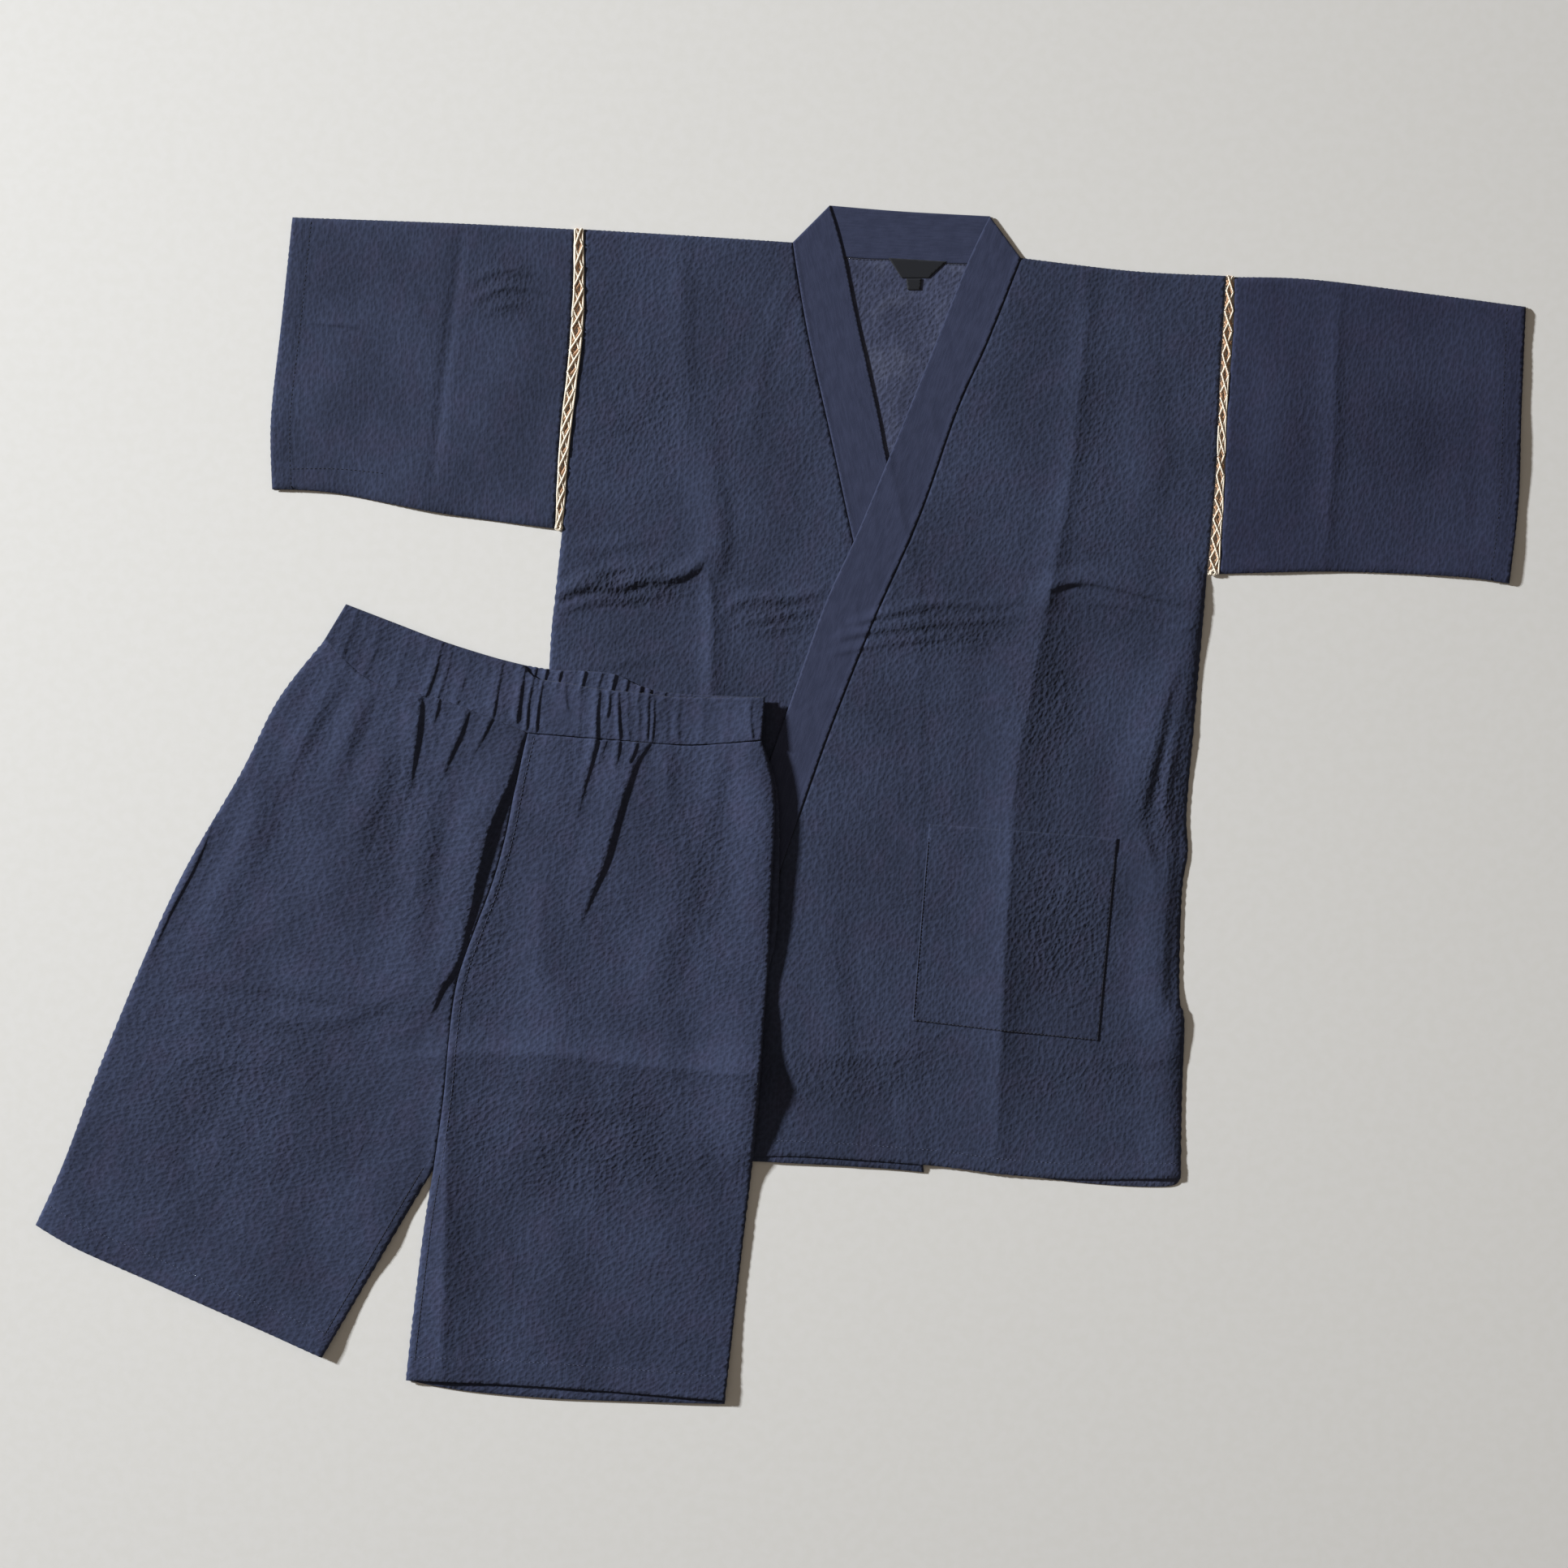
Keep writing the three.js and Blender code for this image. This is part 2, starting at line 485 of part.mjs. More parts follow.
add(rightFront, collarRight, leftFront, collarLeft, leftTie, rightTie,
  panel("patch_pocket", cornersOutline(POCKET), onLeftFront));

// Shorts: the back legs, the front legs on them, and the waistband round both
const rightBack = panel("shorts_right_back", outlineOf("waistSeamRight", "centreSeam", "rightInseam",
  "rightLegHem", "rightOutseam"), onJacket, { folds: SIDE_LIFT });
const leftBack = panel("shorts_left_back", outlineOf("waistSeamLeft", "leftBackOutseam",
  "leftBackLegHem", "leftInseam", "centreSeam"), onJacket, { folds: SIDE_LIFT });
const onBackLegs = pileUp(onJacket, rightBack, leftBack);
add(rightBack, leftBack,
  panel("shorts_right_front", outlineOf("waistSeamRight", "centreSeam", "rightInseam",
    "rightLegHem", "rightOutseam"), onBackLegs, { folds: RIGHT_LEG_FOLDS }),
  panel("shorts_left_front", outlineOf("waistSeamLeft", "leftOutseam", "leftLegHem", "leftInseam",
    "centreSeam"), onBackLegs, { folds: LEFT_LEG_FOLDS }),
  tube("waistband", outlineOf("waistBackTop", "waistEndLeft", "waistSeamLeft", "waistSeamRight",
    "waistEndRight"), onJacket, {
    open: ["waistBackTop", "waistSeamLeft", "waistSeamRight"],
    lift: SIDE_LIFT,
    folds: WAIST_FOLDS,
    frontTop: "waistFrontTop",
  }));

export default group;
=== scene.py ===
import math

import bpy
import numpy as np
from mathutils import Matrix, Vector
from mathutils.geometry import delaunay_2d_cdt
from mathutils.kdtree import KDTree


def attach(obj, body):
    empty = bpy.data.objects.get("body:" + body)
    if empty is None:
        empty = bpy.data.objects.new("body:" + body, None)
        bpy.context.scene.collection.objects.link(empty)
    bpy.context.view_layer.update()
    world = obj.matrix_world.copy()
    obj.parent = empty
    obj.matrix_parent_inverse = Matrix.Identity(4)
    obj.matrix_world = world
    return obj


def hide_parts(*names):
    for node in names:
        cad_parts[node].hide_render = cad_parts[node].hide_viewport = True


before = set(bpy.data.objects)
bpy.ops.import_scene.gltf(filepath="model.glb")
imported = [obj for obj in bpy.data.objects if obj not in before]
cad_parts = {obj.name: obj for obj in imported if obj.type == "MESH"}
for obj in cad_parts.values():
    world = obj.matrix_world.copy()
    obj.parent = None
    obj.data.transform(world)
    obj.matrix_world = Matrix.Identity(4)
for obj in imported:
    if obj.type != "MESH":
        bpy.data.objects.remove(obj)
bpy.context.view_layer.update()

# A jinbei laid flat. Lengths are in millimetres in the part's frame, x across and y up the set, unless
# they say metres.
MM = 0.001
SEED = 7

# The photograph's view, from straight above
IMAGE_WIDTH = 1932  # picture elements across the photograph
MM_PER_PIXEL = 0.68
VIEW_CENTRE = (2.7, 17.3)  # what the middle of the photograph looks at
CAMERA_HEIGHT = 3.4  # metres
SENSOR = 36.0

# The light, and the room's glow
LIGHT_FROM = (-0.92, 0.38)  # level direction that the light comes from
LAMP_PLACE = (-7.83, 3.23, 2.93)  # metres
LAMP_SIZE = 0.62  # metres
LAMP_POWER = 404
LAMP_SPREAD = 90  # degrees
LAMP_COLOUR = (0.955, 0.985, 1.0)
ROOM_COLOUR = (1.0, 0.86, 0.7, 1)
ROOM_STRENGTH = 0.19
FLOOR_NAME = "floor"
FLOOR_REACH = 4.0  # metres
FLOOR_DROP = 0.0002  # metres that the floor lies below a height of zero

# Cloth
CLOTH = 0.6  # thickness of one layer
POCKET_CLOTH = 0.45  # thickness of the pocket, which is pressed flat
BAND = 0.9  # thickness of a collar or other doubled band
TAPE = 0.5  # thickness of a label
GAP = 0.15  # between a layer and what it lies on
POCKET_RAISE = CLOTH + 0.1  # of the pocket's underside over the front's
SEAM_INSET = 0.12  # how far an outline is moved in, so that neighbours stay apart
EDGE_ROUNDING = 0.32  # how far a panel's faces stop short of its edge, in thicknesses
EDGE_BULGE = 0.05  # how far the middle of its edge stands out, in thicknesses
HEM_RISE = 0.4  # of the cloth over a turned hem
HEM_SLOPE = 1.5  # width of the slope up to it
STITCH_DENT = 0.3  # how deep a hem's stitches pull the cloth in
DENT_INSET = 2.0  # from that dent's middle to the hem's upper end
DENT_WIDTH = 1.3  # from its middle to where it fades
CLOSED_REACH = 3.0  # how near a rolled edge the gap below it closes
CLOSED_SHARE = 0.1  # what is left of the gap there

# How a layer settles on the ones below
LATTICE_STEP = 2.0
LATTICE_REACH = (640, 520)  # how far it goes either way, across and up
COARSE = 3  # one in so many points of an outline is used to see which places it covers
COVER_ROUND = 1.5  # how far round an outline a layer is worked out, in lattice steps
WINDOW_ROUND = 4  # how far round an outline its places are looked for, in lattice steps
SAG = 0.012  # how far a layer drops below its neighbours' mean in one pass of settling
PASSES = 90
BRIDGE_PASSES = 150
BRIDGE_RISE = 0.9  # how far the shorts stand off the jacket to pass over its edges smoothly
FRONT_BRIDGE_RISE = 0.25  # the same for the left front over the right one
WAIST_FRONT_LIFT = 0.5  # how much further the waistband's front stands off than the legs' fronts
WAVE_COUNT = 14  # waves in the unevenness of a layer
WAVE_RANGE = (0.7, 1.6)  # shortest and longest of them, as shares of the wavelength

# How a layer stands off what it lies on: its share of the lift of the free edges, then its waves, each with
# a wavelength, a height, how much longer it is one way and the angle of that way
LIFTS = {
    "back": (0.45,),
    "right front": (0.5, (70, 0.5), (16, 0.2, 2.5)),
    "left front": (0.5, (70, 0.6), (16, 0.25, 2.5)),
    "leg backs": (0.4,),
    "leg fronts": (0.5, (60, 1.2), (14, 0.3, 2.2, 8)),
    "sleeve lower": (0.4,),
    "sleeve upper": (0.6, (60, 0.9), (15, 0.2, 2.5)),
}
SLEEVE_FULLNESS = 0.5  # how much further a sleeve's upper layer stands off the lower one

# Spacing of points
SPAN_POINTS = 24  # between two rows of a table, before they are spread evenly
EDGE_STEP = 1.6  # along an outline
TAPE_STEP = 1.0  # along a label's outline
FOLD_STEP = 6.0  # along a fold, to measure from it
HEM_STEP = 8.0  # along an edge, to measure from it
CREASE_STEP = 1.6  # along a crease
SEAM_STEP = 2.0  # along a row of stitches
FACE_STEP = 3.0  # inside an outline
LEG_STEP = 2.5  # the same on the legs
POCKET_STEP = 2.2  # the same on the pocket
WAIST_STEP = 1.8  # the same on the waistband's back
FINE_STEP = 1.5  # the same on narrow bands
GATHER_STEP = 1.3  # the same on the gathered waistband
HIDDEN_STEP = 7.0  # the same on layers that others cover
HALF_HIDDEN_STEP = 4.0  # the same on one that shows along an edge
SPREAD_MARGIN = 0.6  # how far such points stay inside their outline, in steps
CREASE_MARGIN = 0.8  # how far a crease's points stay inside it
CREASE_CLEARANCE = 0.55  # how far other points stay off a crease, in steps
LARGEST_CLEAR_STEP = 2.5  # longest step that is used for that

# Folds
PRESSED = "pressed"  # a crease with a sharp crest, such as packing leaves
STEEP = 5.0  # a fold that drops within this reach is a crease
GATHER_BEND = 2.2  # how far the middle of a gather strays to a side
GATHER_START = 3  # how far above its table row it begins
GATHER_OVERRUN = 0.1  # how far it runs on past the seam, as a share of its length
GATHER_SOFTNESS = 0.4  # added to its reach away from the light
GATHER_RISES = (0.3, 0.7, 0.8)  # shares of its rise at its start, middle and seam
# A gather at the waistband's back: steps from its table row, and shares of its rise
BACK_GATHER_PATH = [(1, 4, 1), (0, 0, 1), (-3, -12, 1), (-6, -26, 0)]
BACK_GATHER_REACH = (4.5, 1.4)  # towards the light, away from it

# Puckers
PUCKER_CALM = 6.0  # how near an edge's ends its puckers fade
PUCKER_DRIFT = (14, 0, 5)  # spacing, least and most of their uneven turn
PUCKER_CHANGE = (9, 0.1, 1.2)  # spacing, least and most of their uneven size
PUCKER_RANGE = (0.1, 2.6)  # least and most that the crepe puckers
EDGE_SHADE = 0.4  # painted shade: how dark the turned edge of a panel is painted

# Hems and seams: how deep each is
HEM = 13
LEG_HEM = 20
CUFF_HEM = 16
POCKET_HEM = 15
COLLAR_SEAM = 3

# Hems of the pieces, each an edge and its depth, and their rolled edges, each with its reach and its drop
EDGE_WORK = {
    "jacket_right_front": ([("right hem", HEM)], [("right shoulder", 3, 0.5), ("right side", 4, 1.0)]),
    "collar_right": ([("right collar seam", COLLAR_SEAM)], []),
    "jacket_left_front": ([("left hem", HEM)], [("left shoulder", 3, 0.5), ("left side", 5, 0.8)]),
    "collar_left": ([("left collar seam", COLLAR_SEAM)], []),
    "patch_pocket": ([("pocket top", POCKET_HEM)], []),
    "right_sleeve": ([("right sleeve cuff", CUFF_HEM)],
                     [("right sleeve top", 5, 1.4), ("right sleeve underarm", 5, 1.0)]),
    "left_sleeve": ([("left sleeve cuff", CUFF_HEM)],
                    [("left sleeve top", 5, 1.4), ("left sleeve underarm", 5, 1.0)]),
    "shorts_right_front": ([("right leg hem", LEG_HEM)],
                           [("right outseam", 5, 1.0), ("right inseam", 4, 1.0)]),
    "shorts_left_front": ([("left leg hem", LEG_HEM)],
                          [("left inseam", 4, 1.0), ("waist seam left", 3, 0.3)]),
    "waistband": ([], [("waist top", 4, 0.8), ("waist front top", 2.5, 0.6)]),
}

# How far each piece's warp is turned from straight up, in degrees
GRAIN = {
    "body": -3.2, "collar back": 87, "collar right": 12, "collar left": -20, "label": 0,
    "right sleeve": 2.0, "left sleeve": -5.0, "right leg": -26, "left leg": -5, "waistband": -12,
}

# Stitches and cords
STITCH = 2.4  # length of a stitch
STITCH_GAP = 1.3  # from one to the next
CLOSE_STITCH = 2.8  # length of the stitches in rows that look like a line, among them the painted shadow lines at the back neck and round the pocket
THREAD = 0.3  # radius
BEAD = (-0.1, 0.1, -0.1)  # height of a stitch's ends and middle over the cloth
CORD_RADIUS = 0.85  # of the right lacing's cords
FINE_CORD_RADIUS = 0.66  # of the left one's
CORD_TOP = 2.3  # height of the upper cords' middle
CROSS_PITCH = 17.0  # from one crossing to the next
CROSS_POINTS = 9  # along a crossing cord
CROSS_RANGE = (0.85, 1.15)  # least and most of a crossing cord's reach, as shares of the usual one
PITCH_RANGE = (0.88, 1.12)  # the same of the way to the next crossing
CROSS_DRIFT = (-1, 1)  # how far it strays along the lacing
CROSS_WIDTH = (0.36, 0.42)  # how far its ends lie from the middle, as shares of the gap
CROSS_BEND = (-0.05, 0.05)  # how far its middle strays, the same way
CROSS_RISE = 0.3  # of the cord that passes over, and drop of the one below
SWAY = (14, -0.06, 0.06)  # spacing, least and most of an edge cord's unevenness, as shares of the gap
CORD_RISE = (6, -0.15, 0.15)  # the same up and down
UNDER_CORDS = (0.3, 0.7)  # how far over the lower cords lie
LACING_END = 3  # how far from the lacing's end its cords stop crossing
END_LOOPS = [(2.0, 0.9), (2.6, 1.6), (1.7, 2.2)]  # size and height of the loops at its end

# Lacings: radius of the cords, then the ones that run part of the way along, each as how far over it lies,
# from where and to where, and then how far over the whole ones lie, all as shares
LACINGS = {
    "right": (CORD_RADIUS, [(0.88, 0.0, 0.3), (0.08, 0.36, 0.76), (0.88, 0.68, 1.0)], [0.12, 0.88]),
    "left": (FINE_CORD_RADIUS, [(0.9, 0.32, 0.6), (0.9, 0.66, 1.0), (0.1, 0.5, 0.6)], []),
}

# Edges of the pieces, each a table of (x, y) that a smooth line runs through
EDGES = {
    "right shoulder": [(-165, 482), (-66, 476), (10, 471)],
    "left shoulder": [(201, 458), (295, 447), (373, 443)],
    "right armhole": [(-165, 482), (-165, 402), (-174, 328), (-183, 231)],
    "left armhole": [(373, 443), (368, 359), (364, 271), (357, 193)],
    "right side": [(-183, 231), (-189, 175), (-194, 115), (-203, -108), (-209, -290)],
    "left side": [(357, 193), (350, 110), (346, 65), (340, -6), (341, -40), (336, -75), (334, -158),
                  (338, -182), (336, -250), (335, -313)],
    "back neck": [(10, 471), (52, 459), (102, 456), (156, 453), (201, 458)],
    "back hem": [(-209, -290), (-39, -296), (121, -302), (254, -317), (322, -320), (335, -313)],
    "right hem": [(-209, -290), (-39, -298), (73, -304), (120, -308)],
    "left hem": [(-39, -295), (21, -295), (122, -302), (189, -310), (254, -314), (335, -313)],
    "right front edge": [(113, -19), (110, -210), (120, -308)],
    "left front edge": [(-37, -161), (-39, -295)],
    "right collar fold": [(10, 471), (41, 502)],
    "left collar fold": [(175, 493), (201, 458)],
    "collar top": [(41, 502), (102, 497), (175, 493)],
    "right collar seam": [(10, 471), (14, 444), (24, 388), (42, 308), (61, 220), (91, 89), (113, -19)],
    "right collar edge": [(41, 502), (52, 464), (64, 406), (82, 326), (89, 289), (114, 174)],
    "right collar end": [(113, -19), (114, 174)],
    "left collar seam": [(201, 458), (173, 388), (148, 332), (116, 242), (77, 153), (40, 60), (11, -22),
                         (-37, -161)],
    "left collar edge": [(175, 493), (156, 453), (126, 378), (89, 287), (63, 225), (37, 168), (9, 89),
                         (-37, -42)],
    "left collar end": [(-37, -161), (-37, -42)],
    "right sleeve top": [(-409, 492), (-271, 487), (-173, 482)],
    "right sleeve cuff": [(-409, 492), (-418, 406), (-427, 323), (-426, 264)],
    "right sleeve underarm": [(-426, 264), (-375, 261), (-285, 244), (-189, 231)],
    "right sleeve head": [(-173, 482), (-175, 418), (-180, 358), (-186, 298), (-189, 231)],
    "left sleeve top": [(380, 442), (445, 440), (550, 427), (624, 417)],
    "left sleeve cuff": [(624, 417), (620, 321), (618, 255), (610, 185)],
    "left sleeve underarm": [(367, 193), (464, 195), (564, 191), (610, 185)],
    "left sleeve head": [(380, 442), (379, 398), (374, 331), (371, 253), (367, 193)],
    "pocket top": [(124, -16), (282, -28)],
    "pocket outer": [(282, -28), (266, -198)],
    "pocket bottom": [(266, -198), (178, -189), (110, -181)],
    "pocket inner": [(110, -181), (124, -16)],
    "waist end right": [(-364, 168), (-382, 138)],
    "waist end left": [(-13, 90), (-16, 54)],
    "waist top": [(-364, 168), (-325, 153), (-283, 137), (-242, 124), (-215, 117)],
    "waist back top": [(-215, 117), (-190, 113), (-163, 112), (-138, 109), (-116, 99), (-84, 93), (-13, 90)],
    "waist front top": [(-215, 117), (-204, 106), (-179, 102), (-152, 97), (-109, 93), (-84, 90), (-13, 90)],
    "waist seam right": [(-382, 138), (-344, 102), (-284, 86), (-212, 60)],
    "right leg top": [(-381, 140), (-343, 104), (-283, 88), (-212, 60)],
    "waist seam left": [(-212, 60), (-137, 54), (-76, 50), (-16, 54)],
    "centre seam": [(-212, 60), (-222, 17), (-230, -24), (-241, -64), (-256, -104), (-269, -140),
                    (-276, -178), (-282, -242), (-291, -306)],
    "right outseam": [(-382, 138), (-421, 88), (-452, 27), (-508, -72), (-566, -208), (-600, -298),
                      (-624, -352)],
    "right leg hem": [(-624, -352), (-585, -374), (-501, -411), (-384, -463)],
    "right inseam": [(-291, -306), (-305, -329), (-354, -412), (-384, -463)],
    "left inseam": [(-291, -306), (-299, -355), (-309, -436), (-314, -482)],
    "left leg hem": [(-314, -482), (-242, -485), (-175, -489), (-47, -499)],
    "left back leg hem": [(-314, -482), (-265, -491), (-197, -497), (-129, -500), (-47, -502)],
    "left outseam": [(-16, 54), (-5, 6), (-8, -79), (-11, -144), (-21, -266), (-35, -395), (-47, -499)],
    "left back outseam": [(-16, 54), (-2, 4), (-3, -102), (-12, -152), (-20, -266), (-35, -395),
                          (-47, -502)],
}
# Corners of each label, and how far it stands off the back
LABELS = {
    "neck_label": ([(90, 458), (139, 455), (124, 441), (101, 441)], 0.2),
    "size_label": ([(105, 440.7), (118, 440.7), (117, 431), (106, 431)], 0.3),
}
# Corners of each tie, from one end
TIES = {
    "left_front_tie": [(-37.3, -96), (-37.3, -129), (-134, -247), (-153, -232)],
    "right_side_tie": [(-201, -78), (-177, -78), (-170, -272), (-194, -273)],
}
# A short row of stitches near the right sleeve's underarm
UNDERARM_SEAM = [(-412, 281), (-370, 281), (-330, 277)]

# Puckered edges: how far the cloth's ribs push an edge in and out, and how often
SCALLOPS = {
    "right shoulder": (0.23, 4.2), "left shoulder": (0.23, 4.2),
    "right sleeve top": (0.2, 4.4), "left sleeve top": (0.2, 4.4),
    "right sleeve underarm": (0.23, 5.0), "left sleeve underarm": (0.23, 5.0),
    "left side": (0.33, 9.0), "right side": (0.33, 8.0), "left outseam": (0.33, 8.0),
    "left back outseam": (0.33, 9.0), "right outseam": (0.39, 7.0), "right inseam": (0.33, 8.0),
    "left inseam": (0.33, 8.0), "waist front top": (0.36, 5.6), "waist back top": (0.39, 5.2),
    "left hem": (0.2, 7.0), "right leg hem": (0.25, 6.0), "left leg hem": (0.25, 7.0),
    "right sleeve cuff": (0.2, 6.0), "left sleeve cuff": (0.2, 6.0),
}

# Folds. Each has a path of (x, y, rise), then its reach towards the light and away from it. Below zero
# the rise is a dent. A pressed one has a sharp crest.
RIGHT_FRONT_FOLDS = [
    ([(-186, 175, 1.8), (-160, 184, 3.2), (-138, 181, 2.8), (-117, 188, 3.4), (-92, 189, 3.3),
      (-72, 198, 2.8), (-64, 208, 0.5)], 14, 6),
    ([(-180, 164, 1.0), (-154, 171, 1.7), (-126, 172, 1.5), (-96, 178, 0.4)], 8, 6),
    ([(-172, 189, 0.3), (-140, 197, 1.4), (-112, 200, 1.2), (-92, 204, 0.2)], 8, 6),
    ([(-84, 470, 0.3), (-82, 420, 0.7), (-80, 350, 0.6), (-78, 280, 0.2)], 16, 14),
    ([(-64, 340, 0.2), (-58, 280, 0.9), (-52, 230, 1.9), (-54, 205, 2.2), (-60, 196, 0.8)], 30, 16),
    ([(-63, 206, 0.5), (-60, 185, 1.6), (-58, 155, 2.0), (-58, 125, 1.9), (-59, 88, 1.5), (-60, 40, 0.7)],
     16, 20, PRESSED),
    ([(-48, 160, 0.3), (-30, 172, 1.4), (5, 172, 1.7), (34, 178, 0.7)], 9, 5),
    ([(-38, 152, 0.2), (-10, 156, 1.2), (26, 162, 0.6)], 7, 5),
    ([(-30, 142, 0.2), (0, 147, 0.7), (22, 150, 0.3)], 6, 4),
    ([(-176, 116, 0.3), (-140, 118, 0.7), (-100, 124, 0.3)], 14, 7),
    ([(-182, 214, 0.4), (-150, 214, 0.8), (-110, 222, 0.2)], 14, 8),
    ([(-168, 330, 0.1), (-140, 320, 0.6), (-110, 330, 0.1)], 18, 14),
    ([(10, 440, 0.2), (-14, 380, 0.7), (-24, 300, 0.2)], 16, 12),
]
LEFT_FRONT_FOLDS = [
    ([(256, 440, 0.6), (254, 388, 1.3), (243, 278, 1.5), (229, 198, 1.8), (224, 172, 2.2)], 24, 18, PRESSED),
    ([(226, 186, 0.6), (224, 176, 2.4), (218, 140, 3.2), (203, 62, 3.2), (196, 20, 3.0), (192, -48, 3.8),
      (188, -108, 4.4), (185, -176, 4.4), (182, -248, 2.8), (181, -291, 1.6)], 44, 46, PRESSED),
    ([(226, 180, 0.8), (236, 184, 2.4), (252, 186, 2.4), (270, 184, 2.2), (290, 179, 2.2), (310, 174, 2.0),
      (330, 169, 1.5), (346, 165, 0.4)], 18, 3),
    ([(250, 168, 0.2), (276, 168, 1.0), (304, 162, 0.9), (330, 156, 0.3)], 9, 4),
    ([(62, 152, 0.5), (90, 160, 1.3), (130, 168, 1.5), (170, 166, 1.2), (200, 170, 0.4)], 9, 5),
    ([(50, 140, 0.5), (84, 147, 1.4), (130, 152, 1.4), (180, 155, 0.9), (214, 160, 0.2)], 8, 5),
    ([(44, 126, 0.3), (80, 134, 0.8), (120, 138, 0.8), (160, 143, 0.3)], 8, 4),
    ([(334, 120, 0.4), (322, 92, 2.0), (316, 60, 2.6), (309, 31, 3.0), (303, 4, 2.6), (301, -18, 1.4),
      (306, -34, 1.8), (311, -50, 0.5)], 34, 9),
    ([(330, 64, 0.3), (325, 30, 1.6), (322, 0, 1.4), (323, -20, 0.3)], 7, 6),
    ([(98, -224, 0.1), (104, -250, 0.4), (105, -300, 0.3)], 12, 8),
    ([(344, 150, 0.5), (337, 146, 1.2), (330, 150, 0.3)], 5, 4),
    ([(236, -44, 0.1), (242, -60, 0.35), (238, -86, 0.2)], 9, 7),
    ([(120, 60, 0.2), (150, 20, 0.8), (150, -30, 0.2)], 30, 26),
    ([(300, 390, 0.2), (312, 310, 1.0), (304, 240, 0.2)], 30, 22),
    ([(40, -60, 0.2), (44, -150, 1.1), (52, -240, 0.3)], 28, 22),
    ([(262, -214, 0.3), (300, -216, 0.9), (334, -210, 0.4)], 12, 8),
    ([(0, -204, 0.3), (60, -212, 0.8), (120, -208, 0.3)], 14, 9),
]
# Where the body's left side curls down to its seam
LEFT_SIDE_ROLL = [
    ([(349, 184, 1.4), (340, 110, 2.0), (331, 60, 1.8), (327, -6, 1.4), (322, -75, 2.2), (318, -158, 2.4),
      (326, -182, 1.8), (324, -250, 1.2), (325, -310, 0.8)], 30, 12),
]
RIGHT_SLEEVE_FOLDS = [
    ([(-266, 484, -0.2), (-271, 440, -0.8), (-280, 370, -0.8), (-287, 310, -0.7), (-292, 262, -0.2)], 9, 7),
    ([(-398, 404, 0.2), (-372, 402, 1.0), (-346, 399, 0.2)], 4, 2.4),
    ([(-262, 436, 0.2), (-236, 447, 1.0), (-198, 443, 0.2)], 7, 4),
    ([(-258, 421, 0.2), (-230, 433, 1.2), (-190, 428, 0.2)], 7, 4),
    ([(-250, 410, 0.2), (-222, 419, 0.8), (-186, 408, 0.2)], 7, 4),
    ([(-404, 330, 0.1), (-360, 350, 0.8), (-320, 330, 0.1)], 40, 40),
    ([(-240, 300, 0.1), (-230, 350, 0.8), (-232, 400, 0.1)], 30, 34),
]
LEFT_SLEEVE_FOLDS = [
    ([(468, 432, 0.4), (464, 360, 1.2), (463, 300, 1.2), (458, 240, 1.0), (456, 205, 0.3)], 20, 14, PRESSED),
    ([(400, 400, 0.1), (420, 340, 0.9), (410, 260, 0.1)], 30, 30),
    ([(560, 380, 0.1), (575, 300, 0.8), (560, 230, 0.1)], 34, 34),
    ([(604, 400, 0.4), (602, 320, 0.9), (598, 240, 0.9), (594, 200, 0.4)], 20, 14),
]
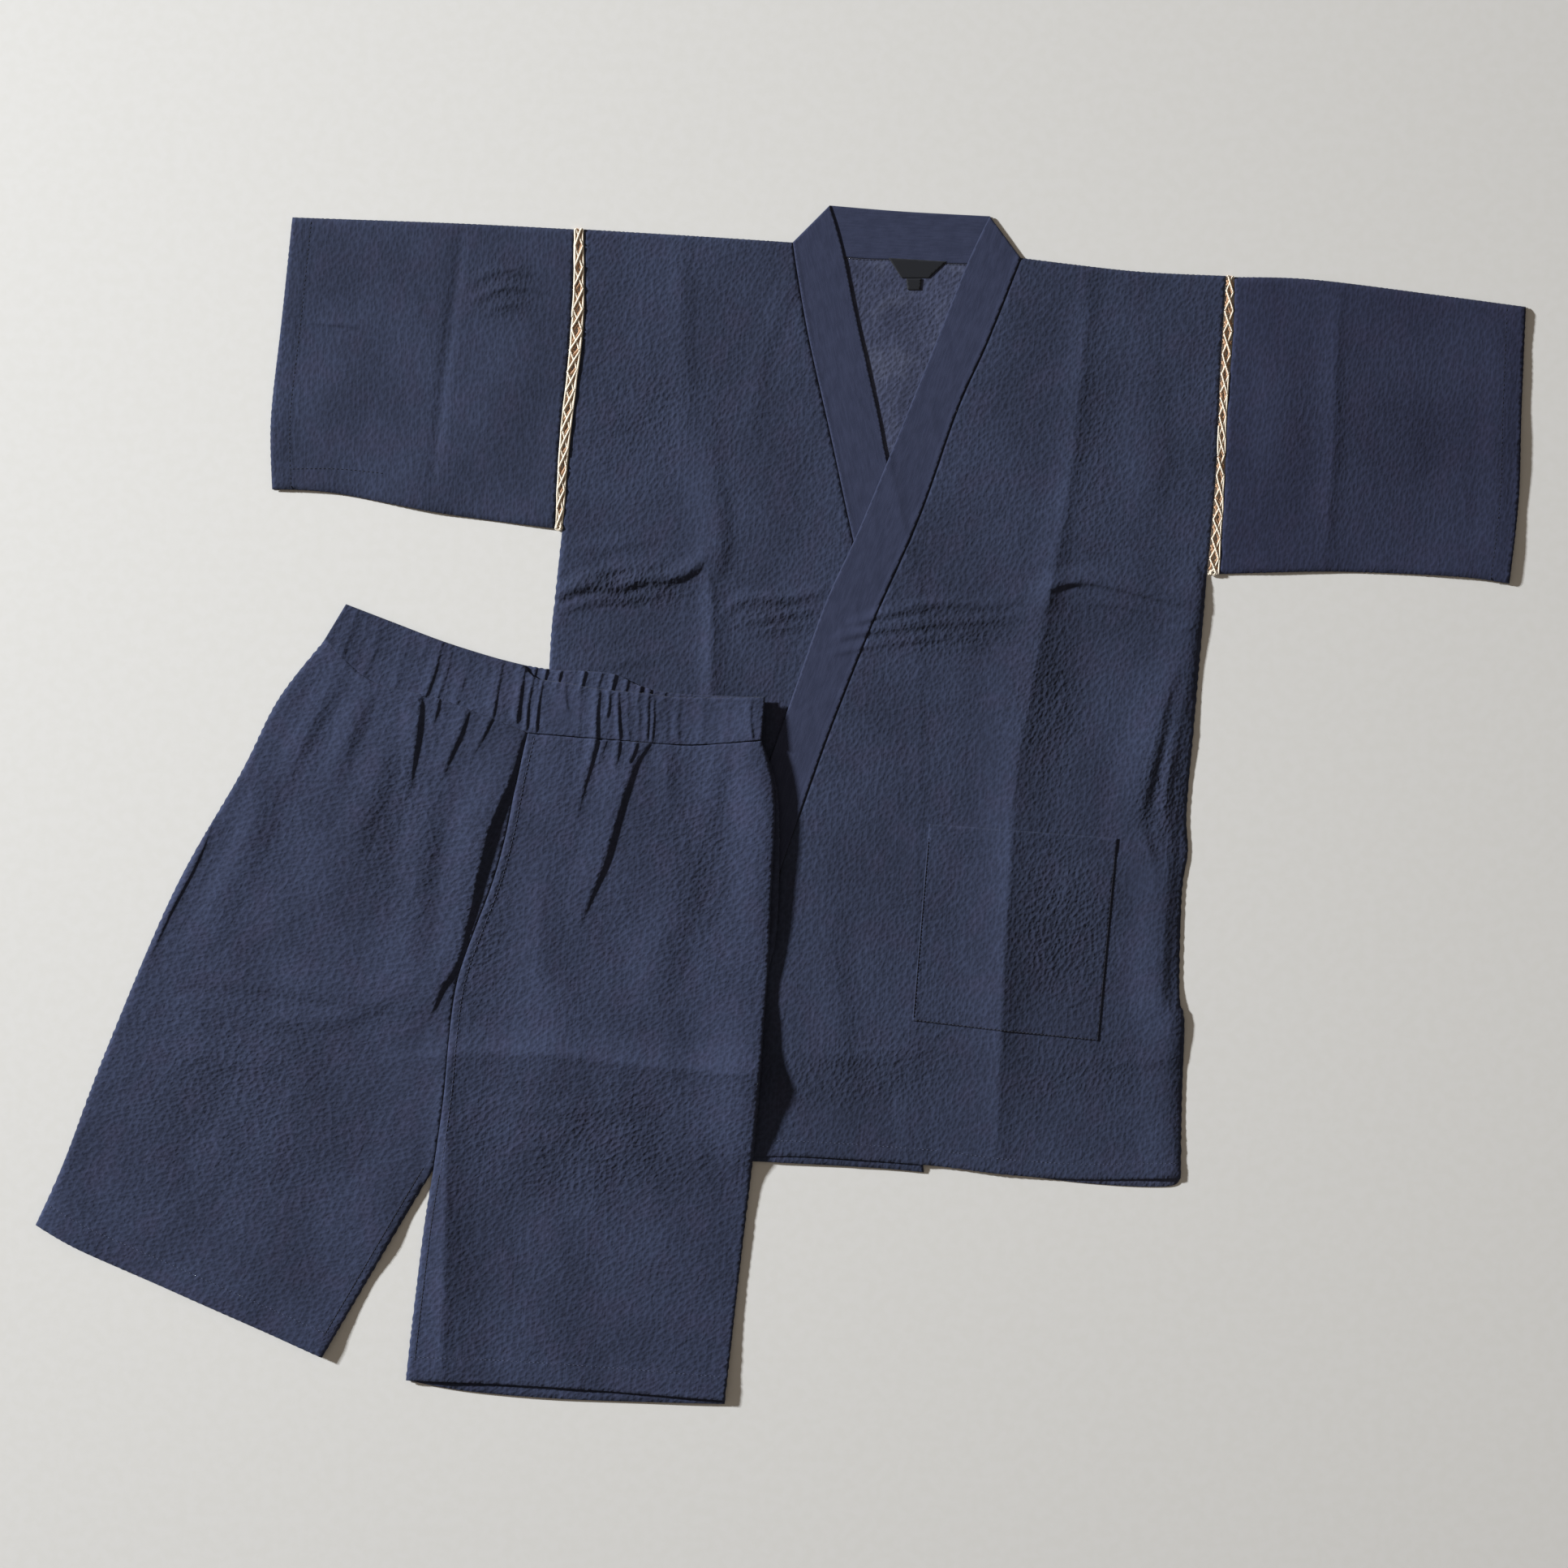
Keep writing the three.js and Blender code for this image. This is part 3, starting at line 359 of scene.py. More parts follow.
# The shorts' left side stands off the jacket, its front panel more than its back one
SIDE_LIFT = [
    ([(-18, 96, 2.6), (-14, 54, 4.2), (-10, 20, 3.8), (-8, -30, 3.0), (-10, -79, 2.4), (-14, -130, 1.2),
      (-18, -160, 1.0), (-22, -205, 3.6), (-25, -237, 5.2), (-29, -270, 3.6), (-36, -310, 0.9),
      (-40, -340, 0.3)], 62, 40),
]
FRONT_SIDE_LIFT = [
    ([(-24, 92, 2.0), (-20, 54, 2.8), (-14, 10, 2.8), (-14, -60, 2.5), (-16, -115, 1.4), (-18, -150, 0.4),
      (-26, -237, 0.9), (-32, -290, 0.3)], 34, 22),
]
FRONT_LEG_FOLDS = [
    # the deep fold that leans on the centre seam
    ([(-213, 66, 0.6), (-218, 49, 1.1), (-227, 18, 2.2), (-236, -2, 3.2), (-244, -23, 3.6), (-250, -48, 3.2),
      (-254, -64, 3.0), (-258, -84, 2.4), (-263, -104, 1.8), (-268, -125, 1.5), (-276, -142, 1.9),
      (-284, -153, 1.8), (-290, -169, 1.0), (-294, -178, 0.2)], 40, 2.2),
    # the raised lip of the centre seam
    ([(-210, 52, 0.3), (-219, 17, 0.7), (-227, -24, 0.8), (-238, -64, 0.8), (-253, -104, 0.7),
      (-266, -140, 0.6), (-273, -178, 0.5), (-279, -242, 0.2)], 3.2, 6),
    # the second fold
    ([(-110, 51, 1.0), (-120, 37, 1.3), (-126, 22, 1.6), (-131, 8, 1.9), (-137, -12, 2.0), (-147, -48, 1.9),
      (-156, -70, 1.3), (-163, -88, 0.8), (-168, -101, 0.2)], 30, 2.2),
    ([(-120, 52, 0.8), (-123, 44, 1.2), (-126, 36, 0.8)], 4, 1.4),
    ([(-301, 86, 1.0), (-303, 69, 1.8), (-305, 52, 1.7), (-308, 32, 1.2), (-311, 8, 0.2)], 20, 2.2),
    ([(-285, 92, 0.8), (-288, 78, 0.9), (-291, 68, 0.2)], 4, 1.4),
    ([(-261, 79, 0.7), (-267, 62, 1.2), (-275, 44, 1.2), (-283, 24, 0.2)], 14, 2.0),
    ([(-240, 76, 1.1), (-249, 57, 0.8), (-256, 44, 0.2)], 10, 1.6),
    ([(-154, 55, 1.5), (-158, 38, 1.2), (-164, 16, 0.7), (-170, -10, 0.2)], 9, 1.6),
    ([(-135, 54, 1.2), (-136, 44, 1.1), (-138, 32, 0.3)], 5, 1.4),
    ([(-146, 54, 0.6), (-149, 44, 0.5), (-152, 34, 0.1)], 4, 1.4),
    ([(-96, 50, 0.5), (-95, 26, 1.0), (-96, -4, 0.3)], 14, 12),
    ([(-50, 50, 0.4), (-54, 20, 1.0), (-62, -30, 0.3)], 20, 14),
    ([(-346, 96, 0.6), (-360, 60, 1.6), (-376, 20, 0.3)], 18, 12),
    ([(-370, 108, 0.4), (-394, 66, 1.2), (-420, 14, 0.2)], 16, 12),
    ([(-328, 60, 0.3), (-340, 10, 1.4), (-362, -40, 0.3)], 24, 18),
    ([(-289, 20, 0.3), (-300, -40, 1.6), (-306, -110, 1.2), (-318, -180, 0.3)], 26, 20),
    # a level fold across the left leg, left by packing
    ([(-284, -208, 3.4), (-203, -208, 5.0), (-144, -214, 5.8), (-74, -222, 6.0), (-22, -225, 3.8)],
     28, 58, PRESSED),
    # a lengthwise one beside its inner edge
    ([(-279, -214, 1.6), (-280, -300, 3.4), (-282, -400, 3.2), (-284, -480, 1.8)], 24, 44, PRESSED),
    ([(-500, -160, 0.2), (-430, -180, 0.9), (-360, -176, 0.9), (-310, -150, 0.2)], 16, 12),
    ([(-540, -200, 0.2), (-470, -214, 0.8), (-400, -224, 0.2)], 14, 12),
    ([(-250, -250, 0.2), (-190, -256, 0.8), (-110, -252, 0.2)], 12, 10),
    ([(-372, 128, 0.7), (-346, 106, 1.2), (-318, 92, 1.3), (-284, 86, 1.3), (-240, 71, 1.2),
      (-216, 60, 0.6)], 12, 14),
    ([(-520, -146, 0.3), (-450, -150, 1.3), (-380, -160, 1.6), (-310, -172, 0.4)], 30, 10),
    ([(-250, -300, 0.1), (-180, -310, 1.0), (-90, -300, 0.1)], 34, 26),
    ([(-500, -280, 0.1), (-440, -300, 0.9), (-360, -290, 0.1)], 30, 24),
    ([(-196, -40, 0.2), (-204, -110, 1.4), (-214, -180, 0.2)], 30, 26),
    ([(-70, -40, 0.2), (-90, -100, 1.4), (-110, -170, 0.2)], 34, 24),
    ([(-430, 40, 0.2), (-450, -40, 1.4), (-500, -130, 0.2)], 18, 26),
    ([(-472, -4, 0.3), (-488, -46, 0.8), (-511, -90, 0.8), (-528, -128, 0.3)], 7, 1.6),
]
# Gathers across the front of the waistband, from its top edge to its seam
WAIST_GATHERS = [
    # top x, top y, seam x, seam y, rise, reach towards the light, away from it
    (-352, 162, -368, 124, 0.7, 10, 4),
    (-334, 154, -350, 108, 0.6, 9, 4),
    (-310, 147, -322, 100, 0.5, 8, 4),
    (-283, 134, -300, 84, 1.1, 9, 1.3),
    (-274, 133, -290, 84, 0.6, 4, 1.6),
    (-258, 128, -272, 82, 0.6, 7, 2.4),
    (-232, 120, -241, 74, 1.0, 9, 1.3),
    (-214, 113, -221, 70, 1.6, 8, 1.3),
    (-206, 108, -213, 64, 1.2, 3.5, 1.3),
    (-203, 104, -208, 62, 0.7, 2, 1.2),
    (-199, 102, -205, 62, 1.4, 3, 1.2),
    (-180, 101, -178, 78, 0.7, 8, 1.4),
    (-166, 98, -168, 60, 0.4, 5, 2),
    (-151, 97, -154, 55, 1.6, 8, 1.3),
    (-144, 96, -146, 72, 1.0, 3, 1.3),
    (-136, 95, -135, 56, 1.4, 4, 1.3),
    (-127, 94, -127, 56, 0.5, 4, 2),
    (-119, 93, -119, 55, 0.5, 4, 2),
    (-111, 93, -112, 54, 0.9, 4, 1.2),
    (-106, 92, -108, 54, 1.0, 2.4, 1.2),
    (-96, 91, -97, 53, 0.4, 5, 3),
    (-83, 90, -86, 54, 0.8, 8, 2.2),
    (-64, 90, -66, 52, 0.5, 7, 4),
    (-44, 90, -45, 52, 0.4, 7, 4),
    (-24, 90, -23, 54, 1.0, 8, 1.4),
]
# Short gathers on the strip of the waistband's back that shows over its front
WAIST_BACK_GATHERS = [
    # x, y, rise
    (-204, 117, 0.7), (-195, 116, 1.0), (-183, 116, 0.9), (-163, 114, 1.0), (-149, 113, 0.5),
    (-138, 111, 1.2), (-127, 107, 0.7), (-116, 102, 1.2), (-108, 99, 0.9), (-96, 97, 0.6),
]

# Where free edges lift a little off what they lie on
EDGE_LIFTS = [
    # x, y, reach, rise
    (342, 60, 60, 1.0), (338, -182, 42, 2.0), (330, -300, 50, 0.8), (352, 160, 44, 1.0),
    (612, 200, 60, 0.8), (616, 300, 50, 0.8), (-200, 240, 40, 0.8), (-300, 250, 60, 1.6),
    (-400, 264, 40, 0.8), (-384, -455, 60, 2.6), (-480, -418, 60, 1.6), (-600, -365, 50, 1.4),
    (-60, -492, 70, 1.6), (-200, -488, 60, 0.8), (-310, -470, 40, 1.2), (-330, -370, 40, 1.6),
    (430, 196, 50, 0.8), (560, 192, 50, 0.8), (266, -198, 30, 0.9),
]

# Where the crepe puckers more, or less where it is pressed flat or doubled. More puckering also paints the
# crepe darker, as painted shade, and some spots are set beside folds for that painted shade.
PUCKER_AND_SHADE_SPOTS = [
    # x, y, reach across, reach up and down, change
    (-130, 184, 80, 28, 1.6), (-6, 160, 50, 26, 1.0), (130, 148, 110, 30, 1.0), (318, 10, 30, 80, 1.3),
    (238, -100, 62, 104, 1.2), (60, -225, 130, 44, 0.7), (260, -225, 90, 40, 0.6), (224, 80, 44, 110, 0.9),
    (-150, -285, 170, 80, 0.7), (-450, -240, 150, 150, 0.5), (-250, -90, 40, 130, 0.6),
    (-60, -60, 60, 120, 0.5), (-320, -20, 60, 120, 0.5), (-232, 432, 44, 40, 1.5), (-100, 330, 90, 90, 0.4),
    (-178, 78, 28, 24, -0.8), (303, -62, 26, 26, -0.8), (-60, 72, 50, 18, -0.4), (110, -30, 40, 50, -0.3),
    (262, 300, 30, 150, 0.4), (500, 300, 150, 150, 0.7), (175, 20, 24, 160, -0.4), (-70, 300, 20, 160, -0.3),
]


def lengths_along(line):
    """How far along a line each of its points is."""
    return np.r_[0, np.cumsum(np.linalg.norm(np.diff(line[:, :2], axis=0), axis=1))]


def smooth_line(rows, step):
    """Points along a smooth line through a table's points, a step apart, ends kept. Columns past x and y
    go along with them."""
    table = np.array(rows, float)
    last = len(table) - 1
    fine = []
    for k in range(last):
        before, start, end, after = (table[min(max(n, 0), last)] for n in range(k - 1, k + 3))
        t = np.linspace(0, 1, SPAN_POINTS, endpoint=False)[:, None]
        go_in = (end - before) / 2
        go_out = (after - start) / 2
        fine.append((2 * start - 2 * end + go_in + go_out) * t ** 3
                    + (-3 * start + 3 * end - 2 * go_in - go_out) * t ** 2 + go_in * t + start)
    fine = np.vstack([*fine, table[-1:]])
    length = lengths_along(fine)
    count = max(2, int(round(length[-1] / step)) + 1)
    at = np.linspace(0, length[-1], count)
    return np.column_stack([np.interp(at, length, column) for column in fine.T])


def across(line):
    """The level direction across a line at each of its points."""
    along = np.gradient(line[:, :2], axis=0)
    along /= np.linalg.norm(along, axis=1)[:, None]
    return np.column_stack([-along[:, 1], along[:, 0]])


def uneven(rng, length, spacing, low, high):
    """A random size that changes smoothly along a length."""
    stops = np.arange(0, length[-1] + 2 * spacing, spacing)
    return np.interp(length, stops, rng.uniform(low, high, len(stops)))


def edge_line(name):
    """An edge of the cloth, pushed in and out by its puckers. Pieces that share it get the same line."""
    line = smooth_line(EDGES[name], EDGE_STEP)
    if name not in SCALLOPS:
        return line
    rng = np.random.default_rng(sum(map(ord, name)))
    push, period = SCALLOPS[name]
    length = lengths_along(line)
    ends = np.clip(np.minimum(length, length[-1] - length) / PUCKER_CALM, 0, 1)
    turn = 2 * math.pi * length / period + uneven(rng, length, *PUCKER_DRIFT)
    wave = push * ends * uneven(rng, length, *PUCKER_CHANGE) * np.sin(turn)
    return line + across(line) * wave[:, None]


def turn_of(points):
    """Twice the area that an outline goes round, below zero if it runs clockwise."""
    x, y = points.T
    return np.sum(x * np.roll(y, -1) - np.roll(x, -1) * y)


def anticlockwise(points):
    return points if turn_of(points) > 0 else points[::-1].copy()


def outline_of(*names):
    """Edges joined end to end, anticlockwise, as one closed outline."""
    runs = [edge_line(name) for name in names]
    first, ends = runs[0], runs[1][[0, -1]]
    if np.linalg.norm(ends - first[0], axis=1).min() < np.linalg.norm(ends - first[-1], axis=1).min():
        runs[0] = first[::-1]
    end = runs[0][0]
    points = []
    for run in runs:
        if np.linalg.norm(run[-1] - end) < np.linalg.norm(run[0] - end):
            run = run[::-1]
        points.append(run[:-1])
        end = run[-1]
    return anticlockwise(np.vstack(points))


def corners_outline(corners, step=EDGE_STEP):
    """A straight-sided outline with points along its sides."""
    corners = anticlockwise(np.array(corners, float))
    sides = [smooth_line([a, b], step)[:-1] for a, b in zip(corners, np.roll(corners, -1, axis=0))]
    return np.vstack(sides)


def moved_in(outline, distance):
    """An outline moved inwards."""
    along = np.roll(outline, -1, axis=0) - np.roll(outline, 1, axis=0)
    inward = np.column_stack([-along[:, 1], along[:, 0]]) / np.linalg.norm(along, axis=1)[:, None]
    return outline + inward * distance


def inside(points, outline):
    """Which points are inside an outline."""
    result = np.zeros(len(points), bool)
    x, y = points.T
    for (ax, ay), (bx, by) in zip(outline, np.roll(outline, -1, axis=0)):
        if ay == by:
            continue
        crosses = (ay > y) != (by > y)
        result ^= crosses & (x < ax + (y - ay) * ((bx - ax) / (by - ay)))
    return result


def distance_to(points, line):
    """Distance from each point to an open line, how far along the line, and whether it is on the side
    away from the light."""
    best = np.full(len(points), np.inf)
    along = np.zeros(len(points))
    shaded = np.zeros(len(points), bool)
    passed = 0.0
    for a, b in zip(line[:-1, :2], line[1:, :2]):
        step = b - a
        length = math.hypot(*step)
        t = np.clip((points - a) @ step / length ** 2, 0, 1)
        off = points - (a + t[:, None] * step)
        distance = np.hypot(off[:, 0], off[:, 1])
        nearer = distance < best
        best[nearer] = distance[nearer]
        along[nearer] = passed + t[nearer] * length
        left = step[0] * off[nearer, 1] - step[1] * off[nearer, 0] > 0
        light_on_left = step[0] * LIGHT_FROM[1] - step[1] * LIGHT_FROM[0] > 0
        shaded[nearer] = left != light_on_left
        passed += length
    return best, along, shaded


def hump(off):
    """A smooth share that falls from 1 in the middle to 0 at a distance of 1."""
    return 0.5 + 0.5 * np.cos(math.pi * np.minimum(off, 1))


def fold_rise(points, folds):
    """How far a set of folds raises the cloth at some points."""
    raised = np.zeros(len(points))
    for path, lit, shaded, *kind in folds:
        line = smooth_line(path, FOLD_STEP)
        reach = max(lit, shaded)
        low = line[:, :2].min(axis=0) - reach
        high = line[:, :2].max(axis=0) + reach
        near = np.where(np.all((points > low) & (points < high), axis=1))[0]
        if len(near) == 0:
            continue
        distance, along, dark = distance_to(points[near], line)
        rise = np.interp(along, lengths_along(line), line[:, 2])
        off = np.clip(distance / np.where(dark, shaded, lit), 0, 1)
        raised[near] += rise * ((1 - off) ** 2 if PRESSED in kind else hump(off))
    return raised


# The lattice on which every layer's height is worked out
LATTICE_X, LATTICE_Y = (np.arange(-reach, reach + LATTICE_STEP, LATTICE_STEP) for reach in LATTICE_REACH)
LATTICE = np.stack(np.meshgrid(LATTICE_X, LATTICE_Y), axis=-1)
FLOOR = np.zeros(LATTICE.shape[:2])


def fold_field(folds):
    return fold_rise(LATTICE.reshape(-1, 2), folds).reshape(FLOOR.shape)


def window(outline, margin):
    """The part of the lattice round an outline, as slices."""
    low = outline.min(axis=0) - margin
    high = outline.max(axis=0) + margin
    columns = slice(*np.searchsorted(LATTICE_X, (low[0], high[0])))
    rows = slice(*np.searchsorted(LATTICE_Y, (low[1], high[1])))
    return rows, columns


def covered_by(*outlines):
    """Which lattice places the outlines cover, and a little round them."""
    covered = np.zeros(FLOOR.shape, bool)
    for outline in outlines:
        coarse = outline[::COARSE]
        area = window(coarse, WINDOW_ROUND * LATTICE_STEP)
        places = LATTICE[area].reshape(-1, 2)
        wide = moved_in(coarse, -COVER_ROUND * LATTICE_STEP)
        covered[area] |= inside(places, wide).reshape(covered[area].shape)
    return covered


def waves(rng, wavelength, height, stretch=1.0, angle=0.0):
    """Smooth unevenness, never below zero, longer one way than the other by stretch."""
    turn = math.radians(angle)
    x = LATTICE[..., 0] * math.cos(turn) + LATTICE[..., 1] * math.sin(turn)
    y = -LATTICE[..., 0] * math.sin(turn) + LATTICE[..., 1] * math.cos(turn)
    field = FLOOR.copy()
    for _ in range(WAVE_COUNT):
        way = rng.uniform(0, 2 * math.pi)
        number = 2 * math.pi / (wavelength * rng.uniform(*WAVE_RANGE))
        phase = rng.uniform(0, 2 * math.pi)
        field += np.sin(number * (x * math.cos(way) / stretch + y * math.sin(way)) + phase)
    field /= np.abs(field).max()
    return height * (0.5 + 0.5 * field)


def neighbours(field):
    """The sum of the four neighbours of each place inside a field."""
    return field[:-2, 1:-1] + field[2:, 1:-1] + field[1:-1, :-2] + field[1:-1, 2:]


def settle(covered, heap, lift):
    """The underside of a layer laid on the heap, sagging between what holds it up."""
    area = tuple(slice(max(places.min() - 2, 0), places.max() + 3) for places in np.where(covered))
    rest = np.where(heap[area] > 0, heap[area] + GAP, 0)
    support = rest + np.where(covered[area], lift[area], 0)
    height = support.copy()
    here = covered[area][1:-1, 1:-1]
    lowest = support[1:-1, 1:-1]
    for _ in range(PASSES):
        sagged = neighbours(height) / 4 - SAG
        height[1:-1, 1:-1] = np.where(here, np.maximum(lowest, sagged), lowest)
    result = np.where(heap > 0, heap + GAP, 0)
    result[area] = height
    return result


def bridge(heap, rise):
    """How far a layer stands off the heap so that it passes smoothly over the edges below."""
    smooth = heap.copy()
    for _ in range(BRIDGE_PASSES):
        smooth[1:-1, 1:-1] = (2 * smooth[1:-1, 1:-1] + neighbours(smooth)) / 6
    return np.clip(smooth + rise - heap, 0, None)


def sample(field, points):
    """A field's value at any points, between the lattice's places."""
    ends = np.array([len(LATTICE_X), len(LATTICE_Y)]) - 1.001
    u, v = np.clip((points - LATTICE[0, 0]) / LATTICE_STEP, 0, ends).T
    i, j = u.astype(int), v.astype(int)
    s, t = u - i, v - j
    return ((field[j, i] * (1 - s) + field[j, i + 1] * s) * (1 - t)
            + (field[j + 1, i] * (1 - s) + field[j + 1, i + 1] * s) * t)


class Layer:
    """A layer of cloth on the heap, and the shape of its underside."""

    def __init__(self, outlines, heap, lift=FLOOR, folds=()):
        self.covered = covered_by(*outlines)
        self.heap = heap
        self.folds = list(folds)
        self.base = settle(self.covered, heap, lift)

    def heap_with(self):
        """The heap once this layer lies on it."""
        top = np.maximum(self.base + fold_field(self.folds), self.heap) + CLOTH
        return np.where(self.covered, np.maximum(self.heap, top), self.heap)

    def under(self, points, hems=(), rolled=()):
        """The underside's height. hems are (edge, depth) and rolled are (edge, reach, drop)."""
        low = sample(self.base, points) + fold_rise(points, self.folds)
        for name, depth in hems:
            distance = distance_to(points, smooth_line(EDGES[name], HEM_STEP))[0]
            low += HEM_RISE * np.clip((depth - distance) / HEM_SLOPE + 0.5, 0, 1)
            low -= STITCH_DENT * np.exp(-((distance - depth + DENT_INSET) / DENT_WIDTH) ** 2)
        closed = np.ones(len(points))
        for name, reach, drop in rolled:
            distance = distance_to(points, smooth_line(EDGES[name], HEM_STEP))[0]
            low -= drop * np.clip(1 - distance / reach, 0, 1) ** 2
            closed = np.minimum(closed, np.clip(distance / CLOSED_REACH, CLOSED_SHARE, 1))
        return np.maximum(low, sample(self.heap, points) + GAP * closed)


def crease_points(folds):
    """Points along the crest and the foot of each steep fold, for a mesh that turns sharply there."""
    rows = [np.empty((0, 2))]
    for path, lit, shaded, *kind in folds:
        if shaded > STEEP and PRESSED not in kind:
            continue
        line = smooth_line(path, CREASE_STEP)
        side = across(line)
        side[side @ LIGHT_FROM > 0] *= -1
        for share in (0,) if PRESSED in kind else (0, 0.5, 1):
            rows.append(line[:, :2] + side * shaded * share)
    return np.vstack(rows)


def near_any(points, others, distance):
    """Which points lie near any of the others."""
    tree = KDTree(len(others))
    for k, (x, y) in enumerate(others):
        tree.insert((x, y, 0), k)
    tree.balance()
    return np.array([tree.find((x, y, 0))[2] < distance for x, y in points], bool)


def filled(outline, step, creases):
    """Triangles that fill an outline: its own points first, then creases and an even spread."""
    low, high = outline.min(axis=0), outline.max(axis=0)
    rows = []
    for k, y in enumerate(np.arange(low[1], high[1], step * math.sqrt(0.75))):
        x = np.arange(low[0] + (k % 2) * step / 2, high[0], step)
        rows.append(np.column_stack([x, np.full(len(x), y)]))
    spread = np.vstack(rows)
    spread = spread[inside(spread, moved_in(outline[::2], SPREAD_MARGIN * step))]
    creases = creases[inside(creases, moved_in(outline[::2], CREASE_MARGIN))]
    if len(creases):
        clearance = CREASE_CLEARANCE * min(step, LARGEST_CLEAR_STEP)
        spread = spread[~near_any(spread, creases, clearance)]
    points = np.vstack([outline, creases, spread])
    ring = list(range(len(outline)))
    result = delaunay_2d_cdt([Vector(p) for p in points], [], [ring], 1, 1e-5)
    return np.array([tuple(p) for p in result[0]]), np.array(result[2])


def rim_of(triangles):
    """The directed border sides of a sheet of triangles."""
    sides = np.vstack([triangles[:, [0, 1]], triangles[:, [1, 2]], triangles[:, [2, 0]]]).astype(np.int64)
    count = triangles.max() + 1
    return sides[~np.isin(sides[:, 0] * count + sides[:, 1], sides[:, 1] * count + sides[:, 0])]


def sheet_of_cloth(outline, layer, thickness=CLOTH, step=FACE_STEP, hems=(), rolled=(), raised=0.0):
    """A thin shell over an outline: its upper and under faces and a rounded edge between them. It gives
    the vertices, the faces, and for each vertex whether it is on the rounded edge."""
    creases = crease_points(layer.folds if step <= FACE_STEP else ())
    points, triangles = filled(moved_in(outline, SEAM_INSET), step, creases)
    low = layer.under(points, hems, rolled) + raised
    rim = rim_of(triangles)
    count = len(points)
    border = np.unique(rim)
    order = {n: k for k, n in enumerate(border)}
    outward = np.zeros((count, 2))
    for a, b in rim:
        along = points[b] - points[a]
        normal = np.array([along[1], -along[0]]) / max(np.hypot(*along), 1e-9)
        outward[a] += normal
        outward[b] += normal
    outward = outward[border] / np.linalg.norm(outward[border], axis=1)[:, None]
    flat = points.copy()
    flat[border] -= outward * thickness * EDGE_ROUNDING
    middle = points[border] + outward * thickness * EDGE_BULGE
    vertices = np.vstack([
        np.column_stack([flat, low + thickness]),
        np.column_stack([flat, low]),
        np.column_stack([middle, low[border] + thickness / 2]),
    ])
    faces = [tuple(t) for t in triangles] + [tuple(t[::-1] + count) for t in triangles]
    for a, b in rim:
        m, n = (2 * count + order[end] for end in (a, b))
        faces.append((b, a, m, n))
        faces.append((n, m, a + count, b + count))
    return vertices, faces, np.r_[np.zeros(2 * count), np.ones(len(border))]


def pucker_and_shade_of(points):
    """How much the crepe puckers at each point, which also sets how much shade is painted into its colour."""
    amount = np.ones(len(points))
    for x, y, reach_x, reach_y, change in PUCKER_AND_SHADE_SPOTS:
        amount += change * hump(np.hypot((points[:, 0] - x) / reach_x, (points[:, 1] - y) / reach_y))
    return np.clip(amount, *PUCKER_RANGE)


def turned(points, angle):
    """Points in cloth coordinates, with the warp along the second one."""
    turn = math.radians(angle)
    x, y = points[:, 0], points[:, 1]
    return np.column_stack([x * math.cos(turn) + y * math.sin(turn),
                            -x * math.sin(turn) + y * math.cos(turn)])


def direction_of(corners):
    """The angle in degrees that turns the warp of a strip along it. Its corners start at one end."""
    corners = np.array(corners, float)
    x, y = corners[2:].mean(axis=0) - corners[:2].mean(axis=0)
    return math.degrees(math.atan2(y, x)) - 90


def in_scene(name, data):
    """A new object in the scene."""
    made = bpy.data.objects.new(name, data)
    bpy.context.scene.collection.objects.link(made)
    return made


def make_piece(name, parts, look, nodes=(), angle=0.0):
    """One object from one or more parts, each of vertices, faces and marks of its rounded edge. A look is
    a material and its slot, and the slot is not used."""
    material, slot = look
    faces = []
    start = 0
    for part_vertices, part_faces, _ in parts:
        faces += [tuple(int(n) + start for n in face) for face in part_faces]
        start += len(part_vertices)
    vertices = np.vstack([part[0] for part in parts])
    mesh = bpy.data.meshes.new(name)
    mesh.from_pydata((vertices * MM).tolist(), [], faces)
    corners = np.empty(len(mesh.loops), np.int32)
    mesh.loops.foreach_get("vertex_index", corners)
    layer = mesh.uv_layers.new(name="cloth")
    layer.data.foreach_set("uv", turned(vertices, angle)[corners].ravel())
    # The pucker mark sets both the crepe's relief and the shade painted into its colour. The edge mark picks
    # out the rounded edge, which the materials paint darker as shade.
    marks = {"pucker_and_shade": pucker_and_shade_of(vertices), "edge": np.concatenate([part[2] for part in parts])}
    for mark, values in marks.items():
        mesh.attributes.new(mark, "FLOAT", "POINT").data.foreach_set("value", values)
    mesh.polygons.foreach_set("use_smooth", np.ones(len(mesh.polygons), bool))
    mesh.materials.append(material)
    mesh.update()
    piece = in_scene(name, mesh)
    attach(piece, "root")
    if nodes:
        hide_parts(*nodes)
    return piece


def sewn(node, kind, parts, look, angle):
    """A piece of cloth that stands for a node."""
    piece = make_piece(f"{node}_{kind}", parts, look, [node], angle)
    return piece


def panel(node, line, layer, look, angle, thickness=CLOTH, step=FACE_STEP, raised=0.0):
    """A piece of a single layer."""
    hems, rolled = EDGE_WORK.get(node, ((), ()))
    sheet = sheet_of_cloth(line, layer, thickness, step, hems, rolled, raised)
    kind = "band" if look is COLLAR else "cloth"
    return sewn(node, kind, [sheet], look, angle)


def linear(red, green, blue):
    """A colour as seen on a screen, from 0 to 255, in the renderer's own terms."""
    shares = [c / 255 for c in (red, green, blue)]
    return (*(c / 12.92 if c <= 0.04045 else ((c + 0.055) / 1.055) ** 2.4 for c in shares), 1.0)


